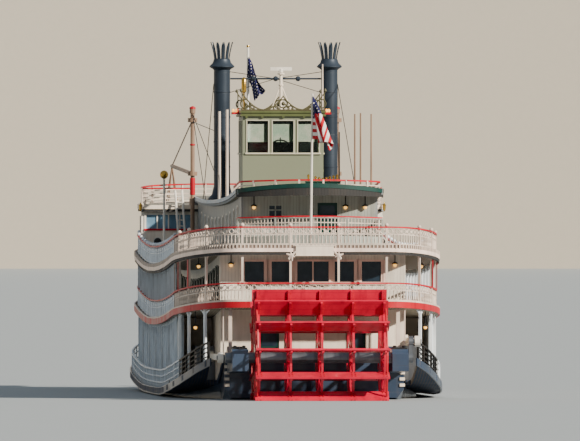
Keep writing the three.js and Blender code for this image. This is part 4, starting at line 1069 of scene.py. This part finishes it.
def pilothouse_roof():
    """The lid with its brackets and crests, the radar mast, the whistle and the side lights."""
    top, eaves, middle = PILOT["top"], PILOT["eaves"], RADAR_MAST
    half, aft, fore = PILOT["half"] + eaves, PILOT["aft"] - eaves, PILOT["fore"] + eaves
    roof, crests, mast, whistle, lights, glow = (Shape() for _ in range(6))
    for inset, low, high in ((0, 0, 0.12), (0.06, 0.12, 0.2), (0, 0.2, 0.3)):
        roof.box((-half + inset, half - inset), (aft + inset, fore - inset), (top + low, top + high))
    for s in (PILOT["aft"] - 0.06, PILOT["fore"] + 0.06):
        crest(crests, s)
    crests.make("pilothouse_crests", "crest")
    for x in (-half + 0.35, -1.2, 0, 1.2, half - 0.35):
        for s, end in ((aft, aft + 0.1), (fore, fore - 0.1)):
            roof.box((x - 0.06, x + 0.06), (s, end), (top - 0.1, top))
    mast.rod((0, middle, top + 0.2), (0, middle, 18.49), 0.09, 10)
    for z, radius in ((16.9, 0.16), (17.7, 0.14), (18.35, 0.2)):
        mast.turned((0, middle, z), [(0.09, 0), (radius, 0.03), (radius, 0.1), (0.09, 0.13)], 10)
    for _, sign in SIDES:
        mast.rod((sign * 0.6, middle, top + 0.3), (sign * 0.09, middle, 17.6), 0.035, 6)
    mast.make("radar_mast", "cream")
    roof.make("pilothouse_lid", "sage", replaces=["pilothouse_roof"])
    whistle.rod((*WHISTLE, top + 0.28), (*WHISTLE, 17.3), 0.05, 8)
    whistle.turned((*WHISTLE, 17.3), [
        (0.05, 0), (0.13, 0.05), (0.15, 0.2), (0.15, 0.75), (0.1, 0.84), (0.03, 0.9)], 12)
    whistle.make("steam_whistle", "brass")
    for _, sign in SIDES:
        for near, far, low, high in ((-0.02, 0.4, 16.08, 16.2), (0.02, 0.08, 16.2, 16.4)):
            lights.box((sign * (half + near), sign * (half + far)), (37.6, 38.5), (low, high))
        for s, out in ((37.75, 0.14), (38.2, 0.3)):
            glow.turned((sign * (half + out), s, 16.2),
                        [(0.06, 0), (0.08, 0.04), (0.08, 0.14), (0.02, 0.2)])
    lights.make("side_light_boards", "red")
    glow.make("side_lights", "lamp")


# Fittings


def stern_board():
    """A bare board on the hurricane railing at the stern, with a scroll at each end."""
    board, scroll = Shape(), Shape()
    z = floor("hurricane", 4.4)
    board.box((-1.05, 1.05), (4.2, 4.28), (z - 0.52, z - 0.02))
    for low, high in ((-0.56, -0.52), (-0.02, 0.03)):
        board.box((-1.1, 1.1), (4.18, 4.3), (z + low, z + high))
    for _, sign in SIDES:
        x, eye = sign * 1.3, z - 0.55
        for turn, reach in ((20, 0.3), (80, 0.2), (140, 0.26), (200, 0.2), (260, 0.3), (320, 0.22)):
            t = radians(turn)
            tip = (sign * (1.3 + reach * cos(t)), 4.22, eye + reach * sin(t))
            scroll.rod((x, 4.22, eye), tip, 0.09, 6, 0.03)
        scroll.rod((sign * 1.05, 4.24, z - 0.3), (sign * 1.45, 4.24, z - 0.75), 0.06, 6)
    board.make("stern_board", "cream")
    scroll.make("stern_board_scrolls", "lace")


LAMPS = [  # x, s, deck and height of each wall lamp
    (-4.55, 6.05, "boiler", 2.2), (4.55, 6.05, "boiler", 2.2), (-6.2, 9.0, "boiler", 2.3),
    (6.2, 9.0, "boiler", 2.3), (-3.1, 9.35, "skylight", 1.75), (3.1, 9.35, "skylight", 1.75),
    (2.0, 9.35, "skylight", 1.75), (-6.4, 8.6, "main", 2.6), (6.4, 8.6, "main", 2.6),
]


def lamps():
    cages, glow = Shape(), Shape()
    for x, s, deck, height in LAMPS:
        z = floor(deck, s) + height
        above = {"main": "boiler", "boiler": "hurricane", "skylight": "roof"}[deck]
        cages.rod((x, s, z), (x, s, floor(above, s) - DECK), 0.03, 6)
        cages.turned((x, s, z), [(0.03, 0.03), (0.16, 0), (0.17, 0.04), (0.03, 0.12)], 10)
        glow.ball((x, s, z - 0.07), 0.1, 8)
    cages.make("lamp_holders", "black")
    glow.make("lamp_bulbs", "lamp")


def light_posts():
    """A ball on a tall post to port, a lantern at each corner of the lounge roof, and ladders to it."""
    posts, brass = Shape(), Shape()
    x, s, top = -6.35, 46.5, 12.42
    z = floor("hurricane", s)
    posts.turned((x, s, 0), [
        (0.14, z), (0.14, z + 0.1), (0.07, z + 0.25), (0.06, top - 0.05), (0.09, top)], 10)
    brass.ball((x, s, top + 0.23), 0.25, 14)
    roof, head, foot = floor("lounge_roof", 58.2), 58.1, 56.6
    top, low = roof + 0.9, floor("hurricane", foot)
    for _, sign in SIDES:
        brass.turned((sign * 7.2, 58.02, roof - 0.3), [
            (0.02, 0), (0.08, 0.05), (0.1, 0.3), (0.12, 0.34), (0.05, 0.42), (0.02, 0.5)], 8)
        posts.rod((sign * 7.2, 58.02, roof + 0.1), (sign * 7.0, 58.3, roof + 0.1), 0.03, 6)
        for x in (4.75, 5.15):
            posts.rod((sign * x, head, top), (sign * (x - 0.2), foot, low), 0.07, 6)
        for t in (k / 11 for k in range(1, 11)):
            step = (head - 1.5 * t, top * (1 - t) + low * t)
            posts.rod((sign * (4.75 - 0.2 * t), *step), (sign * (5.15 - 0.2 * t), *step), 0.035, 5)
    posts.make("light_post_and_ladders", "white")
    brass.make("brass_lights", "brass")


def deck_vents():
    """Cowl ventilators on the hurricane deck, with their mouths facing aft."""
    cowls, mouths = Shape(), Shape()
    bends = ((0, 0.66, 0.13), (-0.02, 0.85, 0.15), (-0.12, 1.02, 0.19), (-0.3, 1.1, 0.25),
             (-0.38, 1.1, 0.27))
    for _, sign in SIDES:
        for x, s in ((6.55, 50.5), (5.35, 53.0)):
            z = floor("hurricane", s)
            cowls.turned((sign * x, s, z), [(0.2, 0), (0.2, 0.06), (0.13, 0.1), (0.13, 0.7)], 12)
            rings = []
            for i, (run, rise, radius) in enumerate(bends):
                tip = i / 4 * pi / 2
                rings.append([
                    (sign * x + radius * cos(a), s + run + radius * sin(a) * cos(tip),
                     z + rise + radius * sin(a) * sin(tip))
                    for a in angles(16)
                ])
            cowls.rings(rings)
            # A dark disc closes each cowl's mouth: painted shade of its hollow
            mouths.rod((sign * x, s - 0.37, z + 1.1), (sign * x, s - 0.4, z + 1.1), 0.22, 16)
    cowls.make("vent_cowls", "white")
    mouths.make("vent_mouths", "painted_shadow")


def whips():
    """Pale poles to port of the texas and on the pilothouse, and thin aerials near the stern."""
    poles, thin = Shape(), Shape()
    for x, s, top in ((-3.82, 33, 16.2), (-3.38, 33, 16.3)):
        poles.rod((x, s, floor("roof", s) - 0.02), (x, s, top), 0.095, 8, 0.08)
    for x, s, top in ((2.89, 15.5, 15.9), (3.21, 15.5, 15.95), (3.81, 15.5, 15.9), (2.07, 16.5, 14.9)):
        z = floor("roof", s)
        thin.rod((x, s, z - 0.02), (x, s, top), 0.06, 6, 0.045)
        thin.turned((x, s, z), [(0.09, 0), (0.09, 0.12), (0.03, 0.2)], 8)
    poles.rod((2.5, 40, PILOT["top"] + 0.28), (2.5, 40, 19.0), 0.06, 8, 0.04)
    poles.make("aerial_poles", "lace")
    thin.make("aerial_whips", "spar")


def mast_rigging():
    """Stays that lead aft and inboard, clear of the swinging booms, and the masts' red bands."""
    stays, caps = Shape(), Shape()
    s, r = MAST["s"], MAST["radius"]
    for _, sign in SIDES:
        x = sign * MAST["x"]
        for foot_x, foot in ((3.9, 47.0), (2.6, 51.0)):
            stays.rod((x, s, MAST["top"] - 0.1), (sign * foot_x, foot, floor("roof", foot)), 0.022, 5)
        stays.rod((x, s, 15.8), (sign * (STACK["x"] + STACK["radius"]), STACK["s"], 15.2), 0.022, 5)
        for low, high in ((11.5, 12.5), (14.4, 14.5)):
            caps.turned((x, s, 0), [(r + 0.005, low), (r + 0.025, low + 0.02), (r + 0.025, high - 0.02),
                                    (r + 0.005, high)], 12)
        caps.turned((x, s, MAST["top"] + 0.13),
                    [(r + 0.02, 0), (r + 0.06, 0.03), (r + 0.05, 0.12), (0.02, 0.2)], 12)
    stays.make("mast_stays", "black")
    caps.make("mast_bands", "red")


def calliope_trim():
    """Steam valves, a feed pipe, a cabinet and a keyboard for the calliope."""
    trim, cabinet = Shape(), Shape()
    s = CALLIOPE
    z = floor("roof", s)
    for i in range(9):
        x, top = -0.1 + i * 0.2, z + 0.5 + 0.05 * abs(i - 4)
        trim.turned((x, s, z + 0.3), [(0.05, 0), (0.08, 0.02), (0.08, 0.08), (0.05, 0.1)], 8)
        trim.turned((x, s, top), [(0.062, 0), (0.075, 0.02), (0.075, 0.06), (0.02, 0.12)], 8)
        trim.rod((x, s, z + 0.32), (x, s - 0.35, z + 0.26), 0.02, 4)
    trim.rod((1.65, s, z + 0.18), (2.3, s, z + 0.18), 0.09, 10)
    trim.rod((2.3, s, z + 0.18), (2.3, s, z - 0.02), 0.09, 10)
    trim.box((-0.2, 1.6), (8.3, 8.5), (z + 0.14, z + 0.26))
    for x in (-0.15, 1.55):
        trim.box((x - 0.04, x + 0.04), (8.32, 8.48), (z - 0.01, z + 0.14))
    trim.make("calliope_pipes", "brass")
    cabinet.box((-0.28, 1.68), (8.6, 8.66), (z - 0.02, z + 0.4))
    for x in (-0.28, 0.35, 1.0, 1.62):
        cabinet.box((x, x + 0.06), (8.56, 8.62), (z - 0.02, z + 0.42))
    cabinet.box((-0.3, 1.7), (8.56, 8.68), (z + 0.38, z + 0.43))
    cabinet.make("calliope_cabinet", "teal")


def stage_details():
    """Planks on each landing stage, and the posts, rails and braces along its sides."""
    aft, fore, low, pitch = STAGE["aft"], STAGE["fore"], STAGE["z"], 0.95
    top = low + STAGE["depth"]
    for side, sign in SIDES:
        planks, bars = Shape(), Shape()
        x, s = sign * STAGE["x"], aft + 0.2
        while s < fore - 0.2:
            planks.box((x - 0.84, x + 0.84), (s, s + 0.36), (top, top + 0.03))
            s += 0.42
        for edge in (-1, 1):
            near, far = x + edge * 0.85, x + edge * 0.9
            bars.box((x + edge * 0.86, far), (aft, fore), (low, top + 0.1))
            for k in range(13):
                s = aft + 0.3 + k * pitch
                bars.box((near, far), (s - 0.04, s + 0.04), (top, top + 0.8))
            bars.box((near, far), (aft + 0.2, fore - 0.2), (top + 0.76, top + 0.82))
            for k in range(12):
                s = aft + 0.3 + k * pitch
                ends = (top + 0.05, top + 0.76) if k % 2 else (top + 0.76, top + 0.05)
                bars.rod((x + edge * 0.875, s, ends[0]), (x + edge * 0.875, s + pitch, ends[1]), 0.025, 4)
        planks.make(f"stage_planks_{side}", "wood", body=f"stage_{side}")
        bars.make(f"stage_bars_{side}", "white", body=f"stage_{side}")


def bow_fittings():
    """Bitts along the main deck, a capstan, a bell on the lounge roof, and the jackstaff's ball."""
    iron, brass, stand = Shape(), Shape(), Shape()
    bow_bitt = [(0.16, 0), (0.13, 0.05), (0.13, 0.5), (0.17, 0.55), (0.17, 0.62), (0.03, 0.66)]
    side_bitt = [(0.1, 0), (0.08, 0.3), (0.13, 0.36), (0.03, 0.42)]
    for _, sign in SIDES:
        for s in (70.5, 73.0):
            z = floor("main", s)
            for off in (-0.25, 0.25):
                iron.turned((sign * 1.9, s + off, z), bow_bitt, 12)
            iron.box((sign * 1.65, sign * 2.15), (s - 0.5, s + 0.5), (z - 0.02, z + 0.05))
        for s in (20, 34, 48):
            z = floor("main", s)
            iron.box((sign * 7.2, sign * 7.45), (s - 0.45, s + 0.45), (z, z + 0.1))
            for off in (-0.25, 0.25):
                iron.turned((sign * 7.32, s + off, z), side_bitt, 10)
    iron.turned((0, CAPSTAN, floor("main", CAPSTAN)), [
        (0.5, 0), (0.5, 0.1), (0.3, 0.2), (0.26, 0.6), (0.42, 0.8), (0.42, 0.95), (0.05, 1.0)], 16)
    iron.make("bow_bitts", "black")
    z = floor("lounge_roof", BELL)
    brass.turned((0, BELL, z + 0.45), [
        (0.36, 0), (0.32, 0.08), (0.22, 0.35), (0.14, 0.5), (0.02, 0.55)], 16)
    brass.ball((0, JACKSTAFF["s"], JACKSTAFF["top"]), 0.1, 10)
    brass.make("bell_and_truck", "brass")
    for x in (-0.5, 0.5):
        stand.rod((x, BELL, z - 0.02), (x, BELL, z + 1.1), 0.05, 8)
    stand.rod((-0.5, BELL, z + 1.05), (0.5, BELL, z + 1.05), 0.05, 8)
    stand.make("bell_frame", "white")


# Flags

FLAG_FRAMES = 70
ENSIGN_CELLS, JACK_CELLS = (48, 38), (44, 26)  # across and down
STRIPES, CANTON = 13, (0.4, 7 / 13)
FLAG_HEADING = radians(60)  # the flags fly aft and a little to starboard
FLAG_COLOURS = {"red": (184, 8, 30), "white": (232, 226, 220), "blue": (26, 26, 74)}


def hang_flag(name, hoist_top, hoist_foot, fly, drift, cells, materials, pick):
    """A flag let fall by cloth simulation: it drifts aft of its staff by so many degrees."""
    across, down = cells
    top, foot = at(*hoist_top), at(*hoist_foot)
    out = Vector((cos(FLAG_HEADING), -sin(FLAG_HEADING), 0))
    side = Vector((out.y, -out.x, 0))
    points, faces = [], []
    for j in range(down + 1):
        for i in range(across + 1):
            run = fly * SCALE * i / across
            wave = 0.006 * sin(5.5 * i / across * pi / 2 + j * 0.05) * i / across
            points.append(top + (foot - top) * (j / down) + out * run + side * wave)
    for j in range(down):
        for i in range(across):
            a = j * (across + 1) + i
            faces.append((a, a + 1, a + across + 2, a + across + 1))
    mesh = new_mesh(name, points, faces, *materials)
    piece = new_object(name, mesh)
    for index, face in enumerate(mesh.polygons):
        face.material_index = pick((index % across + 0.5) / across, (index // across + 0.5) / down)
    pinned = [j * (across + 1) for j in range(down + 1)]
    fall(piece, pinned, out * tan(radians(drift)))
    piece.data.shade_smooth()
    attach(piece, "boat")
    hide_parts(f"flag_{name}")


def fall(piece, pinned, drift):
    """Runs the cloth until the flag hangs in the wind's drift, and keeps its form as the mesh."""
    scene = bpy.context.scene
    scene.gravity = 9.81 * (drift - Vector((0, 0, 1)))
    group = piece.vertex_groups.new(name="hoist")
    group.add(pinned, 1.0, "REPLACE")
    cloth = piece.modifiers.new("cloth", "CLOTH")
    for key, value in {
        "quality": 5, "mass": 0.15, "air_damping": 2.0, "tension_stiffness": 15,
        "compression_stiffness": 15, "shear_stiffness": 8, "bending_stiffness": 0.01,
        "vertex_group_mass": "hoist",
    }.items():
        setattr(cloth.settings, key, value)
    cloth.collision_settings.use_self_collision = True
    cloth.collision_settings.self_distance_min = 0.002
    cloth.point_cache.frame_end = FLAG_FRAMES
    for count in range(1, FLAG_FRAMES + 1):
        scene.frame_set(count)
    evaluated = piece.evaluated_get(bpy.context.evaluated_depsgraph_get())
    fallen = bpy.data.meshes.new_from_object(evaluated)
    piece.modifiers.remove(cloth)
    piece.vertex_groups.clear()
    piece.data = fallen
    scene.frame_set(1)


def star(u, v, cells):
    """Whether a cell of the blue holds one of its evenly spaced white stars."""
    column, row = int(u * cells[0]), int(v * cells[1])
    return column % 3 == 1 and row % 4 == (1 if column % 2 else 3)


def ensign_part(u, v):
    """The material of a cell of the ensign: 0 is red, 1 white and 2 blue."""
    if u < CANTON[0] and v < CANTON[1]:
        return 1 if star(u, v, ENSIGN_CELLS) else 2
    return int(v * STRIPES) % 2


def beside(x, s, z, out):
    """The point on a staff's side where a flag is held, on the way that it flies."""
    return (x + out * cos(FLAG_HEADING), s - out * sin(FLAG_HEADING), z)


def staff_point(z):
    """A point beside the raked verge staff, at a height."""
    s = STAFF["s"] - tan(radians(STAFF["rake"])) * (z - floor("hurricane", STAFF["s"]))
    return beside(STAFF["x"], s, z, STAFF["out"])


def flags():
    red, white, blue = (
        paint(f"flag_{name}", colour, rough=0.85, dirty=0.15, bump=0.25, patch=20.0,
              grooves=((0, 0.002, 0.0003), (2, 0.002, 0.0003)), groove_dark=0.85)
        for name, colour in FLAG_COLOURS.items()
    )
    hang_flag("ensign", staff_point(16.8), staff_point(14.4), 2.9, 30, ENSIGN_CELLS,
              [red, white, blue], ensign_part)
    top, foot = (beside(0, JACKSTAFF["s"], z, JACKSTAFF["out"]) for z in (19.9, 18.5))
    hang_flag("jack", top, foot, 2.5, 10, JACK_CELLS, [blue, white],
              lambda u, v: int(star(u, v, JACK_CELLS)))


# Stage, light and camera


def ground():
    """A pale floor at the waterline, and a round pale backdrop far from the boat."""
    reach, height, sides = 500, 90, 96
    low = [(reach * sin(a), reach * cos(a), WATERLINE) for a in angles(sides)]
    high = [(x, y, WATERLINE + height) for x, y, _ in low]
    walls = [(k, (k + 1) % sides, sides + (k + 1) % sides, sides + k) for k in range(sides)]
    for name, corners, faces, colour in (
        ("ground", low, [tuple(range(sides))], (150, 157, 160)),
        ("backdrop", low + high, walls, (178, 170, 156)),
    ):
        pale = paint(f"{name}_pale", colour, rough=0.9, dirty=0.0, shade=0.97, bump=0.0)
        new_object(name, new_mesh(name, corners, faces, pale))


def lighting():
    world = bpy.data.worlds.new("sky")
    bpy.context.scene.world = world
    world.use_nodes = True
    background = world.node_tree.nodes["Background"]
    background.inputs["Color"].default_value = (0.76, 0.87, 1.0, 1)
    background.inputs["Strength"].default_value = 0.46
    light = bpy.data.lights.new("sun", "SUN")
    light.energy = SUN["strength"]
    light.color = (1.0, 0.91, 0.78)
    light.angle = radians(SUN["spread"])
    lamp = new_object("sun", light)
    lamp.rotation_euler = Vector(SUN["towards"]).to_track_quat("Z", "Y").to_euler()


def camera():
    data = bpy.data.cameras.new("camera")
    eye = new_object("camera", data)
    bpy.context.scene.camera = eye
    data.sensor_width = 36
    data.lens = PHOTO["focal"] * VIEW["zoom"] / PHOTO["width"] * data.sensor_width
    data.clip_end = 2000
    eye.location = at(CAMERA["x"], -CAMERA["aft"], CAMERA["z"])
    turn = radians(VIEW["heading"]) + (VIEW["middle"][0] - PHOTO["centre"]) / PHOTO["focal"]
    tilt = (PHOTO["horizon"] - VIEW["middle"][1]) / PHOTO["focal"]
    eye.rotation_euler = (pi / 2 + tilt, 0, -turn)


for step in (
    camera, lighting, ground, dress_nodes, railings, skylight_railing, windows, shutters,
    pilothouse_windows, doors, deck_trim, guard_posts, stern_fittings, wheel_irons, shaft_details,
    stacks, pilothouse_roof, stern_board, lamps, light_posts, deck_vents, whips, mast_rigging,
    calliope_trim, stage_details, bow_fittings, flags,
):
    step()
